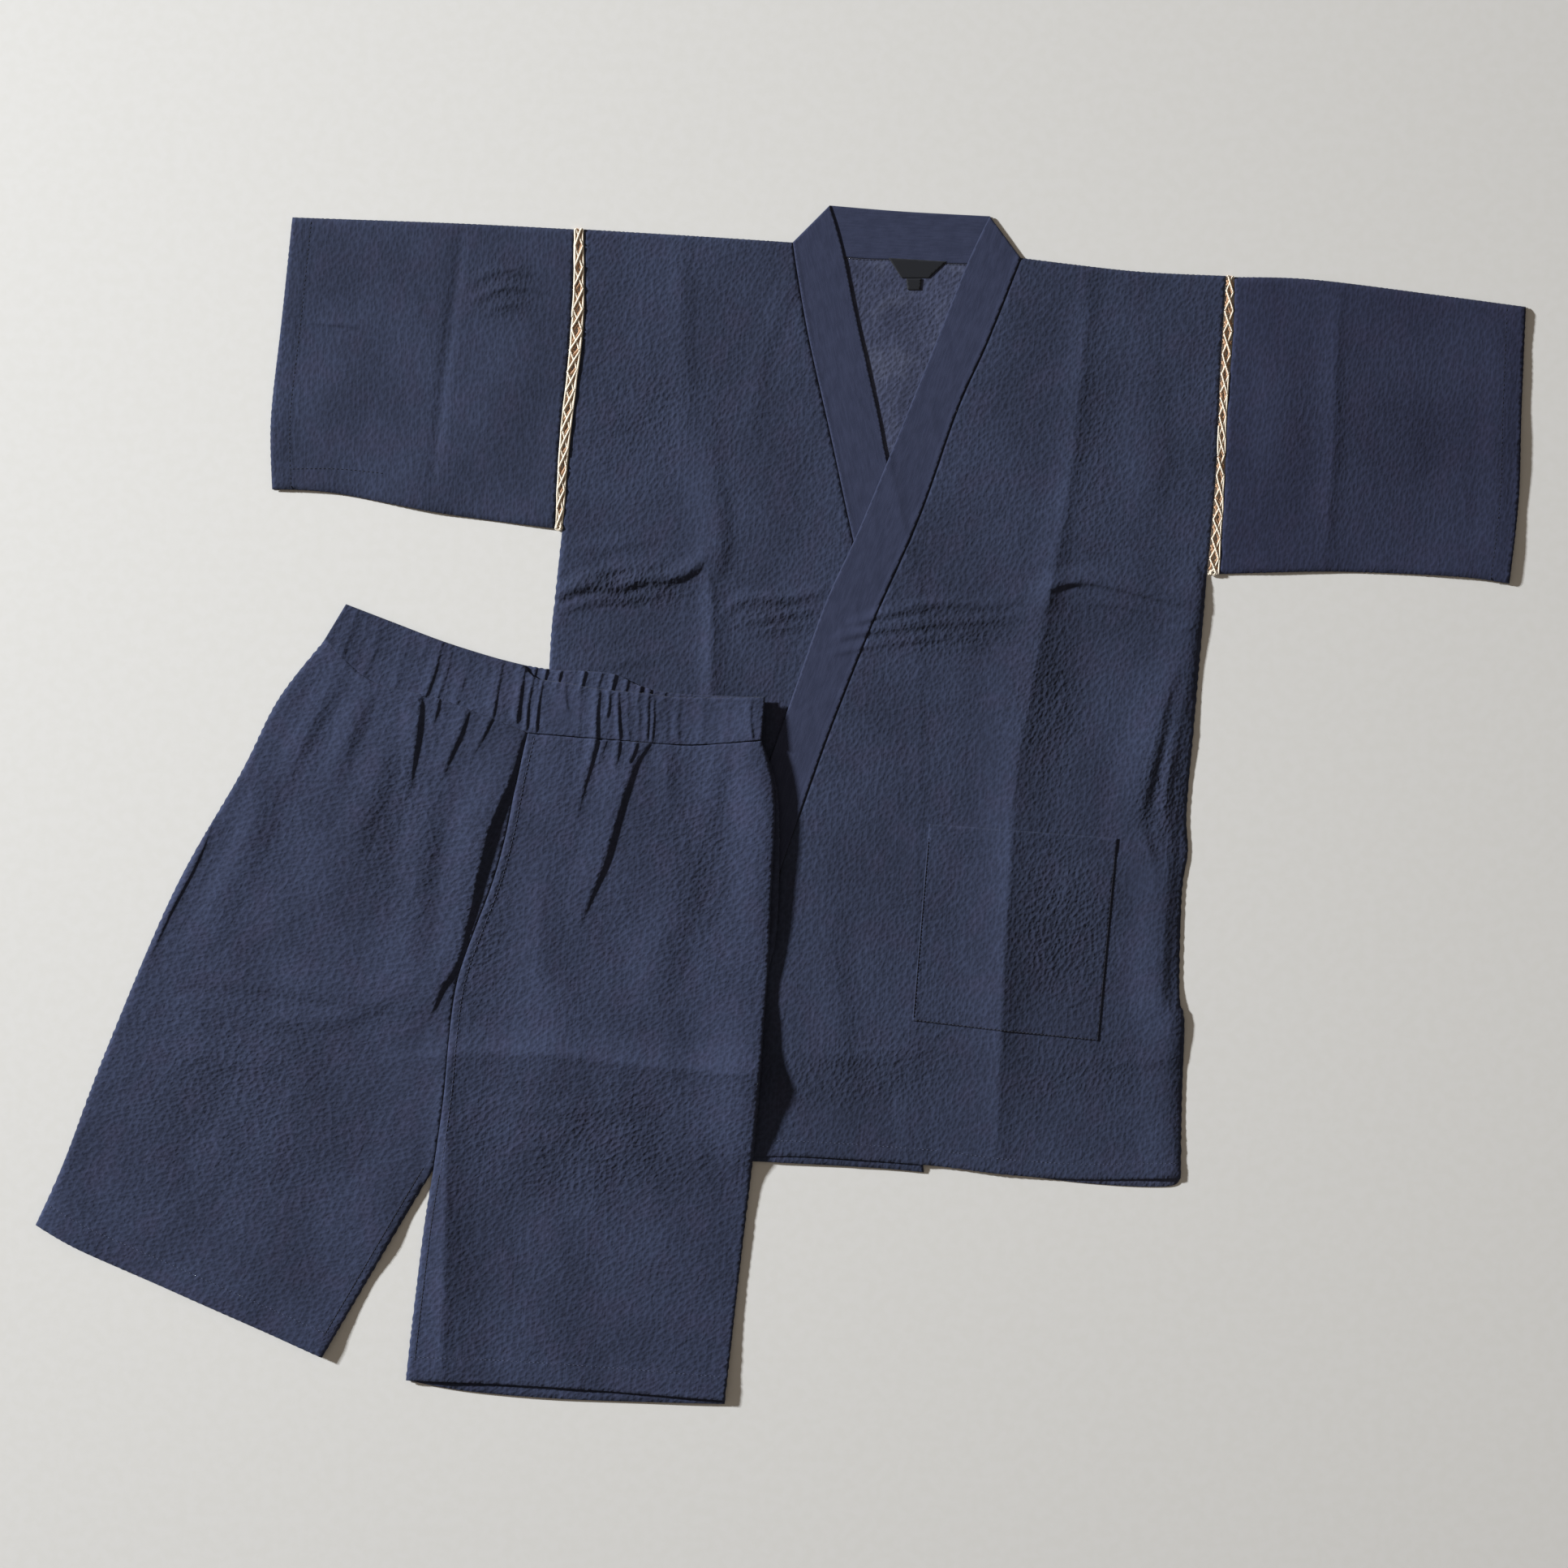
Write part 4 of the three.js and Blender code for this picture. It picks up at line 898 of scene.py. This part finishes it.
class Shader:
    """Builds a material's nodes. Each call gives the socket that its result comes from."""

    def __init__(self, name):
        self.material = bpy.data.materials.new(name)
        self.material.use_nodes = True
        self.tree = self.material.node_tree

    def plug(self, node, inputs):
        """Sets a node's inputs, by name or number, to values or to links."""
        for socket, value in inputs.items():
            if isinstance(value, (int, float, tuple)):
                node.inputs[socket].default_value = value
            else:
                self.tree.links.new(value, node.inputs[socket])

    def node(self, kind, inputs, output=0, **settings):
        node = self.tree.nodes.new("ShaderNode" + kind)
        for name, value in settings.items():
            setattr(node, name, value)
        self.plug(node, inputs)
        return node.outputs[output]

    def math(self, operation, a, b=0.0):
        return self.node("Math", {0: a, 1: b}, operation=operation)

    def add(self, a, b):
        return self.math("ADD", a, b)

    def times(self, a, *others):
        for other in others:
            a = self.math("MULTIPLY", a, other)
        return a

    def cloth(self, across=1.0, along=1.0, slant=0.0):
        """Cloth coordinates, in units of across and along millimetres, turned by a slant in degrees."""
        cloth = self.node("UVMap", {}, uv_map="cloth")
        turn = self.node("Mapping", {"Vector": cloth, "Rotation": (0, 0, math.radians(slant))})
        return self.node("Mapping", {"Vector": turn, "Scale": (1 / across, 1 / along, 1)})

    def part(self, vector, axis):
        return self.node("SeparateXYZ", {0: vector}, axis)

    def amount(self, name):
        return self.node("Attribute", {}, "Fac", attribute_name=name)

    def noise(self, vector, detail=2.0, rough=0.5, swirl=0.0):
        inputs = {"Vector": vector, "Scale": 1.0, "Detail": detail, "Roughness": rough, "Distortion": swirl}
        return self.node("TexNoise", inputs, noise_dimensions="2D")

    def cells(self, vector, smooth, random):
        inputs = {"Vector": vector, "Scale": 1.0, "Smoothness": smooth, "Randomness": random}
        return self.node("TexVoronoi", inputs, "Distance", voronoi_dimensions="2D", feature="SMOOTH_F1")

    def ramp(self, value, low, high, to_low=0.0, to_high=1.0):
        inputs = {"Value": value, "From Min": low, "From Max": high, "To Min": to_low, "To Max": to_high}
        return self.node("MapRange", inputs, interpolation_type="SMOOTHSTEP")

    def mix(self, share, a, b):
        """Mixes two colours, each a link or a colour as seen on a screen."""
        a, b = (linear(*colour) if isinstance(colour, tuple) else colour for colour in (a, b))
        return self.node("Mix", {"Factor": share, "A": a, "B": b}, "Result", data_type="RGBA")

    def shade(self, colour, tone):
        return self.node("HueSaturation", {"Value": tone, "Color": colour})

    def bump(self, height, distance, normal=None):
        inputs = {"Distance": distance * MM, "Strength": 1.0, "Height": height}
        if normal is not None:
            inputs["Normal"] = normal
        return self.node("Bump", inputs)

    def finish(self, colour, roughness, sheen=0.0, normal=None):
        inputs = {"Base Color": colour, "Roughness": roughness, "Sheen Weight": sheen, "Sheen Roughness": 0.5,
                  "Specular IOR Level": 0.25}
        if normal is not None:
            inputs["Normal"] = normal
        self.plug(self.tree.nodes["Principled BSDF"], inputs)
        return self.material


def crepe(name, dark, light, warm, relief, slant, cell):
    """Puckered cotton crepe: soft slanting puckers, fine lengthwise threads and faint patches. relief is
    in millimetres, slant in degrees, and cell is a pucker's size across and along."""
    s = Shader(name)
    pucker_and_shade = s.amount("pucker_and_shade")
    # relief: puckers, ripples here and there, threads
    dents = s.cells(s.cloth(*cell, slant), smooth=0.5, random=0.9)
    soft = s.noise(s.cloth(3.4, 4.6, slant), 1.0, swirl=0.35)
    puckers = s.add(s.times(dents, 0.7), s.times(soft, 0.55))
    ripples = s.noise(s.cloth(11, 4.4, -8), 1.5, swirl=0.3)
    places = s.ramp(s.noise(s.cloth(40, 55), 1.0), 0.35, 0.65)
    height = s.times(s.add(puckers, s.times(ripples, places, 0.7)), pucker_and_shade)
    threads = s.noise(s.cloth(1.5, 26), 1.0)
    weave = s.noise(s.cloth(0.55, 0.8), 1.0)
    normal = s.bump(height, relief)
    normal = s.bump(s.add(s.times(threads, 1.6), weave), 0.05, normal)
    # tone: painted shade, darker in the puckers' dents, where it puckers more and on the turned edges, with
    # random flecks from the threads and the weave
    tone = s.times(s.ramp(puckers, 0.42, 0.72, 0.84, 1.05), s.ramp(threads, 0.25, 0.75, 0.93, 1.07),
                   s.ramp(pucker_and_shade, 0.2, 2.6, 1.09, 0.78), s.ramp(weave, 0.25, 0.75, 0.94, 1.06),
                   s.ramp(s.amount("edge"), 0.0, 1.0, 1.0, EDGE_SHADE))
    # colour: wide faint patches, and smaller warm ones
    colour = s.mix(s.ramp(s.noise(s.cloth(80, 110), 3.0), 0.3, 0.7), light, dark)
    colour = s.mix(s.ramp(s.noise(s.cloth(26, 30), 2.0), 0.45, 0.75, 0.0, 0.4), colour, warm)
    return s.finish(s.shade(colour, tone), 0.92, 0.05, normal)


def plain_cotton(name, dark, light):
    """Smoother plain cotton of the collar and ties: fine threads and faint lengthwise lines."""
    s = Shader(name)
    lines = s.noise(s.cloth(1.3, 16), 1.0)
    weave = s.noise(s.cloth(0.6, 0.8), 1.0)
    soft = s.noise(s.cloth(9, 14), 2.0)
    normal = s.bump(s.add(s.times(lines, 0.5), weave), 0.07, s.bump(soft, 0.3))
    colour = s.mix(s.ramp(s.add(lines, soft), 0.7, 1.3), dark, light)
    # painted shade on the rounded edges
    tone = s.ramp(s.amount("edge"), 0.0, 1.0, 1.0, EDGE_SHADE)
    return s.finish(s.shade(colour, tone), 0.9, 0.06, normal)


def cord_cotton(name, dark, light):
    """Cotton cord, twisted round its length."""
    s = Shader(name)
    place = s.cloth()
    twist = s.math("SINE", s.times(s.add(s.part(place, 0), s.part(place, 1)), 2 * math.pi / 1.3))
    # The cord's colour is painted darker in the twist's grooves and lighter on its ridges: painted shade and
    # highlight.
    return s.finish(s.mix(s.ramp(twist, -0.9, 0.5), dark, light), 0.85, 0.1, s.bump(twist, 0.12))


def label_tape(name, dark, light):
    """Woven tape with fine ribs."""
    s = Shader(name)
    ribs = s.math("SINE", s.times(s.part(s.cloth(0.5, 0.5), 1), 2 * math.pi))
    # The tape's colour is painted darker in the ribs' grooves and lighter on their crests: painted shade and
    # highlight.
    return s.finish(s.mix(s.ramp(ribs, -1, 1), dark, light), 0.7, 0.05, s.bump(ribs, 0.06))


def sewing_thread(name, dark, light):
    """Fuzzy thread."""
    s = Shader(name)
    fuzz = s.noise(s.cloth(0.4, 0.4), 1.0)
    return s.finish(s.mix(fuzz, dark, light), 0.8, 0.1, s.bump(fuzz, 0.05))


def floor_paper(name, dark, light):
    """Smooth paper with a faint grain."""
    s = Shader(name)
    grain = s.node("TexNoise", {"Scale": 900.0})
    return s.finish(s.mix(s.ramp(grain, 0.3, 0.7), dark, light), 0.85)


# Looks: a material and its slot. A crepe has a dark, a light and a warm colour, its relief, its slant and
# the size of its puckers. The others have a dark and a light colour.
NAVY = ((44, 51, 74), (51, 59, 84), (54, 55, 80))
JACKET = (crepe("jacket_crepe", *NAVY, 0.5, 28, (3.4, 4.7)), "jacket_cloth")
RIGHT_SLEEVE = (crepe("sleeve_crepe", *NAVY, 0.32, 14, (3.2, 5.2)), "jacket_cloth")
SHORTS = (crepe("shorts_crepe", (45, 52, 76), (52, 60, 86), (55, 56, 82), 0.58, 52, (3.4, 5.2)),
          "shorts_cloth")
# The left sleeve's crepe is a darker copy of the jacket's: painted shade.
SHADED_LEFT_SLEEVE = (crepe("left_sleeve_crepe", (41, 46, 71), (47, 53, 79), (50, 50, 76), 0.26, 12, (3.0, 5.4)),
               "jacket_cloth")
INSIDE = (crepe("inside_crepe", (49, 54, 77), (67, 73, 99), (82, 87, 108), 0.55, 40, (3.4, 4.8)),
          "jacket_cloth")
COLLAR = (plain_cotton("collar_cotton", (46, 52, 77), (52, 58, 84)), "collar_cloth")
CREAM_CORD = (cord_cotton("cream_cord", (222, 206, 184), (252, 244, 230)), "lacing_cord")
# A brown copy of the cream cord for the cords that lie below: painted shade.
SHADED_UNDER_CORD = (cord_cotton("shaded_under_cord", (168, 126, 98), (222, 184, 150)), "lacing_cord")
LABEL = (label_tape("black_tape", (24, 26, 32), (38, 41, 49)), "label_cloth")
navy_thread = sewing_thread("navy_thread", (46, 51, 72), (72, 78, 102))
# Dark thread: real stitches at the cuffs and inseams, and painted shadow lines at the back neck and the
# pocket.
dark_thread_and_painted_shadow = sewing_thread("dark_thread_and_painted_shadow", (20, 22, 34), (30, 33, 49))

rng = np.random.default_rng(SEED)
edge_lift = FLOOR.copy()
for x, y, reach, rise in EDGE_LIFTS:
    edge_lift += rise * hump(np.hypot(LATTICE[..., 0] - x, LATTICE[..., 1] - y) / reach)


def lift_of(name, start=FLOOR):
    """How far a layer stands off what it lies on, added to a start."""
    share, *rows = LIFTS[name]
    for row in rows:
        start = start + waves(rng, *row)
    return start + share * edge_lift


# Outlines
back_line = outline_of("right shoulder", "right armhole", "right side", "back hem", "left side",
                       "left armhole", "left shoulder", "back neck")
collar_back_line = outline_of("collar top", "left collar fold", "back neck", "right collar fold")
right_front_line = outline_of("right shoulder", "right collar seam", "right front edge", "right hem",
                              "right side", "right armhole")
collar_right_line = outline_of(*(f"right collar {part}" for part in ("seam", "end", "edge", "fold")))
left_front_line = outline_of("left shoulder", "left armhole", "left side", "left hem", "left front edge",
                             "left collar seam")
collar_left_line = outline_of(*(f"left collar {part}" for part in ("seam", "end", "edge", "fold")))
pocket_line = outline_of(*(f"pocket {part}" for part in ("top", "outer", "bottom", "inner")))
tie_lines = {name: corners_outline(corners) for name, corners in TIES.items()}
waist_back_line, waist_front_line = (
    outline_of("waist top", top, "waist end left", "waist seam left", "waist seam right", "waist end right")
    for top in ("waist back top", "waist front top"))
right_leg_line = outline_of("right leg top", "centre seam", "right inseam", "right leg hem",
                            "right outseam")
left_back_line = outline_of("waist seam left", "left back outseam", "left back leg hem", "left inseam",
                            "centre seam")
left_leg_line = outline_of("waist seam left", "left outseam", "left leg hem", "left inseam", "centre seam")

# Storeys of the heap, from the floor up
back = Layer([back_line, collar_back_line], FLOOR, lift_of("back"))
right_front = Layer([right_front_line, collar_right_line], back.heap_with(), lift_of("right front"),
                    RIGHT_FRONT_FOLDS)
front_heap = right_front.heap_with()
left_front = Layer([left_front_line, collar_left_line], front_heap,
                   lift_of("left front", bridge(front_heap, FRONT_BRIDGE_RISE)),
                   LEFT_FRONT_FOLDS + LEFT_SIDE_ROLL)
ties = Layer(list(tie_lines.values()), left_front.heap_with())
jacket_heap = ties.heap_with()
back_gathers = [([(x + dx, y + dy, rise * share) for dx, dy, share in BACK_GATHER_PATH], *BACK_GATHER_REACH)
                for x, y, rise in WAIST_BACK_GATHERS]
leg_backs = Layer([waist_back_line, right_leg_line, left_back_line], jacket_heap,
                  lift_of("leg backs", bridge(jacket_heap, BRIDGE_RISE)) + fold_field(SIDE_LIFT),
                  back_gathers)
front_gathers = []
bends = np.random.default_rng(SEED + 1)
for top_x, top_y, seam_x, seam_y, rise, lit, shaded in WAIST_GATHERS:
    at_start, at_middle, at_seam = (share * rise for share in GATHER_RISES)
    front_gathers.append(([
        (top_x, top_y + GATHER_START, at_start),
        ((top_x + seam_x) / 2 + bends.uniform(-GATHER_BEND, GATHER_BEND), (top_y + seam_y) / 2, at_middle),
        (seam_x, seam_y, at_seam),
        (seam_x + GATHER_OVERRUN * (seam_x - top_x), seam_y + GATHER_OVERRUN * (seam_y - top_y), 0),
    ], lit, shaded + GATHER_SOFTNESS))
leg_lift = lift_of("leg fronts") + fold_field(FRONT_SIDE_LIFT)
leg_fronts = Layer([waist_front_line, right_leg_line, left_leg_line], leg_backs.heap_with(), leg_lift,
                   FRONT_LEG_FOLDS)
waist_front = Layer([waist_front_line], leg_backs.heap_with(), leg_lift + WAIST_FRONT_LIFT, front_gathers)

# Pieces of the jacket
jacket_back = panel("jacket_back", back_line, back, INSIDE, GRAIN["body"], step=HIDDEN_STEP)
panel("collar_back", collar_back_line, back, COLLAR, GRAIN["collar back"], BAND,
      FINE_STEP)
right_piece = panel("jacket_right_front", right_front_line, right_front, JACKET, GRAIN["body"])
collar_right = panel("collar_right", collar_right_line, right_front, COLLAR, GRAIN["collar right"],
                     BAND, FINE_STEP)
left_piece = panel("jacket_left_front", left_front_line, left_front, JACKET, GRAIN["body"])
panel("collar_left", collar_left_line, left_front, COLLAR, GRAIN["collar left"],
      BAND, FINE_STEP)
panel("patch_pocket", pocket_line, left_front, JACKET, GRAIN["body"], POCKET_CLOTH,
      POCKET_STEP, POCKET_RAISE)
for name, (corners, raised) in LABELS.items():
    tape = sheet_of_cloth(corners_outline(corners, TAPE_STEP), back, TAPE, FINE_STEP, raised=CLOTH + raised)
    make_piece(f"{name}_tape", [tape], LABEL, [name])
corners_outline(LABELS["neck_label"][0])
for name, line in tie_lines.items():
    panel(name, line, ties, COLLAR, direction_of(TIES[name]), step=HIDDEN_STEP)


def sleeve(side, folds, look):
    """A sleeve: a lower and an upper layer that meet along its fold and its underarm seam."""
    line = outline_of(*(f"{side} sleeve {part}" for part in ("top", "head", "underarm", "cuff")))
    lower = Layer([line], FLOOR, lift_of("sleeve lower"))
    upper = Layer([line], lower.heap_with(), lift_of("sleeve upper") + SLEEVE_FULLNESS, folds)
    hems, rolled = EDGE_WORK[f"{side}_sleeve"]
    parts = [sheet_of_cloth(line, lower, step=HIDDEN_STEP),
             sheet_of_cloth(line, upper, hems=hems, rolled=rolled)]
    sewn(f"{side}_sleeve", "cloth", parts, look, GRAIN[f"{side} sleeve"])
    return upper


right_sleeve = sleeve("right", RIGHT_SLEEVE_FOLDS, RIGHT_SLEEVE)
left_sleeve = sleeve("left", LEFT_SLEEVE_FOLDS, SHADED_LEFT_SLEEVE)

# Pieces of the shorts
right_back = panel("shorts_right_back", right_leg_line, leg_backs, SHORTS, GRAIN["right leg"],
                   step=HIDDEN_STEP)
left_back = panel("shorts_left_back", left_back_line, leg_backs, SHORTS, GRAIN["left leg"],
                  step=HALF_HIDDEN_STEP)
panel("shorts_right_front", right_leg_line, leg_fronts, SHORTS, GRAIN["right leg"],
      step=LEG_STEP)
panel("shorts_left_front", left_leg_line, leg_fronts, SHORTS, GRAIN["left leg"],
      step=LEG_STEP)
sewn("waistband", "cloth", [
    sheet_of_cloth(waist_back_line, leg_backs, step=WAIST_STEP),
    sheet_of_cloth(waist_front_line, waist_front, BAND, GATHER_STEP, *EDGE_WORK["waistband"])],
    SHORTS, GRAIN["waistband"])


def tube(path, radius, sides=7):
    """A round cord along a path of (x, y, z)."""
    path = np.array(path, float)
    along = np.gradient(path, axis=0)
    along /= np.linalg.norm(along, axis=1)[:, None]
    side = np.cross(along, (0, 0, 1.0))
    side /= np.linalg.norm(side, axis=1)[:, None]
    over = np.cross(side, along)
    turns = np.arange(sides) * 2 * math.pi / sides
    rings = [path + radius * (math.cos(t) * side + math.sin(t) * over) for t in turns]
    vertices = np.stack(rings, axis=1).reshape(-1, 3)
    faces = []
    for a in range(0, (len(path) - 1) * sides, sides):
        for n in range(sides):
            m = (n + 1) % sides
            faces.append((a + n, a + sides + n, a + sides + m, a + m))
    faces.append(tuple(range(sides)))
    faces.append(tuple((len(path) - 1) * sides + n for n in reversed(range(sides))))
    return vertices, faces, np.zeros(len(vertices))


def beside(name, distance):
    """A line along an edge, to its left by a distance, or to its right if that is below zero."""
    line = smooth_line(EDGES[name], SEAM_STEP)
    return line + across(line) * distance


# Rows of stitches, some of dark thread that paints a shadow line: a line, the layer that it lies on, and how
# thick the cloth is there
jacket_rows = [(beside("right hem", HEM), right_front, CLOTH), (beside("left hem", HEM), left_front, CLOTH)]
shorts_rows = [
    (beside("right leg hem", LEG_HEM), leg_fronts, CLOTH),
    (beside("left leg hem", LEG_HEM), leg_fronts, CLOTH),
    (beside("centre seam", 6.5), leg_fronts, CLOTH),
]
# A dark row under the back collar's lower edge: painted shadow.
neck_shadow_rows = [(beside("back neck", -0.8), back, CLOTH)]
cuff_rows = [
    (beside("right sleeve cuff", CUFF_HEM), right_sleeve, CLOTH),
    (beside("left sleeve cuff", -CUFF_HEM), left_sleeve, CLOTH),
    (smooth_line(UNDERARM_SEAM, SEAM_STEP), right_sleeve, CLOTH),
]
inner_seam_rows = [
    (beside("right inseam", -8), leg_fronts, CLOTH), (beside("left inseam", 6), leg_fronts, CLOTH),
]
# Dark rows just inside the pocket's edges: painted shadow of those edges.
pocket_shadow_rows = [(beside(f"pocket {part}", -0.9), left_front, POCKET_RAISE + POCKET_CLOTH)
               for part in ("top", "outer", "bottom", "inner")]
STITCHING = [
    # name, rows, slot, thread, length of a stitch, gap
    ("jacket_stitches", jacket_rows, "jacket_cloth", navy_thread, STITCH, STITCH_GAP),
    ("shorts_stitches", shorts_rows, "shorts_cloth", navy_thread, STITCH, STITCH_GAP),
    ("neck_painted_shadow_line", neck_shadow_rows, "jacket_cloth", dark_thread_and_painted_shadow, CLOSE_STITCH, 0.2),
    ("cuff_stitches", cuff_rows, "jacket_cloth", dark_thread_and_painted_shadow, STITCH, STITCH_GAP),
    ("inner_seam_stitches", inner_seam_rows, "shorts_cloth", dark_thread_and_painted_shadow, CLOSE_STITCH, 0.3),
    ("pocket_stitches", pocket_shadow_rows, "jacket_cloth", dark_thread_and_painted_shadow, CLOSE_STITCH, 0.3),
]
for name, rows, slot, thread, stitch, gap in STITCHING:
    beads = []
    for path, layer, raised in rows:
        length = lengths_along(path)
        starts = np.arange(stitch, length[-1] - stitch, stitch + gap)
        at = (starts[:, None] + np.array([0, stitch / 2, stitch])).ravel()
        line = np.column_stack([np.interp(at, length, column) for column in path[:, :2].T])
        height = layer.under(line) + raised + np.tile(BEAD, len(starts))
        beads += [tube(bead, THREAD, 5) for bead in np.column_stack([line, height]).reshape(-1, 3, 3)]
    make_piece(name, beads, (thread, slot))


def lacing(side, radius, part_cords, whole_cords):
    """The cords that join a sleeve to the body: crossed ones, more below them, and some along the edges.
    Some of those run part of the way, and some the whole of it."""
    body, head = (smooth_line(EDGES[f"{side} {edge}"], 1.0) for edge in ("armhole", "sleeve head"))
    share = np.linspace(0, 1, min(len(body), len(head)))
    body, head = (np.column_stack([np.interp(share, np.linspace(0, 1, len(line)), column)
                                   for column in line.T]) for line in (body, head))
    length = lengths_along(body)
    over_parts, under_parts = [], []

    def crosses(parts, height, start, pitch, long_reach):
        """Pairs of cords that cross, a pitch apart from a start on."""
        centre = start
        steps = np.linspace(-1, 1, CROSS_POINTS)
        bulge = 1 - steps ** 2
        while centre < length[-1] - LACING_END:
            for way in (1, -1):
                reach = long_reach * rng.uniform(*CROSS_RANGE)
                at = np.clip(centre + rng.uniform(*CROSS_DRIFT) + reach * steps, 0, length[-1])
                over = 0.5 + way * rng.uniform(*CROSS_WIDTH) * steps + rng.uniform(*CROSS_BEND) * bulge
                near, far = (np.column_stack([np.interp(at, length, column) for column in line.T])
                             for line in (body, head))
                place = near * (1 - over[:, None]) + far * over[:, None]
                rise = CROSS_RISE * way * bulge
                parts.append(tube(np.column_stack([place, height + rise]), radius))
            centre += pitch * rng.uniform(*PITCH_RANGE)

    def edge_cord(parts, height, over, start=0.0, end=1.0):
        """A cord along the lacing from one share of its length to another, a share of the way over it."""
        here = (share >= start) & (share <= end)
        sway = over + uneven(rng, length, *SWAY)[here, None]
        place = body[here] * (1 - sway) + head[here] * sway
        rise = height + uneven(rng, length, *CORD_RISE)[here]
        parts.append(tube(np.column_stack([place, rise])[::2], radius))

    crosses(over_parts, CORD_TOP, 5.0, CROSS_PITCH, 0.5 * CROSS_PITCH)
    # The lower crossings and edge cords take the brown cord: painted shade between the upper cords.
    crosses(under_parts, CORD_RADIUS + 0.6, 2.0, CROSS_PITCH / 2, 0.35 * CROSS_PITCH)
    for cord in part_cords:
        edge_cord(over_parts, CORD_TOP - 0.1, *cord)
    for over in whole_cords:
        edge_cord(over_parts, CORD_TOP - 0.5, over)
    for over in UNDER_CORDS:
        edge_cord(under_parts, CORD_RADIUS + 0.3, over)
    end = (body[-1] + head[-1]) / 2
    turns = np.linspace(0, 2 * math.pi * 1.1, 22)
    for size, lift in END_LOOPS:
        loop = np.column_stack([end[0] + 1.1 * size * np.cos(turns + lift),
                                end[1] + 1.2 + 0.8 * size * np.sin(turns + lift),
                                lift + 0.4 * np.sin(2 * turns)])
        over_parts.append(tube(loop, radius))
    make_piece(f"{side}_armhole_under_cord", under_parts, SHADED_UNDER_CORD)
    make_piece(f"{side}_armhole_lacing_cord", over_parts, CREAM_CORD, [f"{side}_armhole_lacing"])


for side, cords in LACINGS.items():
    lacing(side, *cords)

# The floor, the light and the camera
floor_mesh = bpy.data.meshes.new(FLOOR_NAME)
ring = [(x * FLOOR_REACH, y * FLOOR_REACH, -FLOOR_DROP) for x, y in ((-1, -1), (1, -1), (1, 1), (-1, 1))]
floor_mesh.from_pydata(ring, [], [(0, 1, 2, 3)])
floor_mesh.materials.append(floor_paper("floor_paper", (221, 220, 218), (223, 222, 221)))
floor = in_scene(FLOOR_NAME, floor_mesh)

lamp_data = bpy.data.lights.new("key", "AREA")
lamp_data.energy = LAMP_POWER
lamp_data.size = LAMP_SIZE
lamp_data.color = LAMP_COLOUR
lamp_data.spread = math.radians(LAMP_SPREAD)
lamp = in_scene("key", lamp_data)
lamp.location = LAMP_PLACE
lamp.rotation_mode = "QUATERNION"
lamp.rotation_quaternion = (-Vector(LAMP_PLACE)).to_track_quat("-Z", "Y")

world = bpy.data.worlds.new("studio")
world.use_nodes = True
world.node_tree.nodes["Background"].inputs["Color"].default_value = ROOM_COLOUR
world.node_tree.nodes["Background"].inputs["Strength"].default_value = ROOM_STRENGTH
bpy.context.scene.world = world
bpy.context.scene.view_settings.view_transform = "Standard"

camera_data = bpy.data.cameras.new("camera")
camera_data.sensor_width = SENSOR
camera_data.lens = SENSOR * CAMERA_HEIGHT / (IMAGE_WIDTH * MM_PER_PIXEL * MM)
camera = in_scene("camera", camera_data)
camera.location = (VIEW_CENTRE[0] * MM, VIEW_CENTRE[1] * MM, CAMERA_HEIGHT)
bpy.context.scene.camera = camera
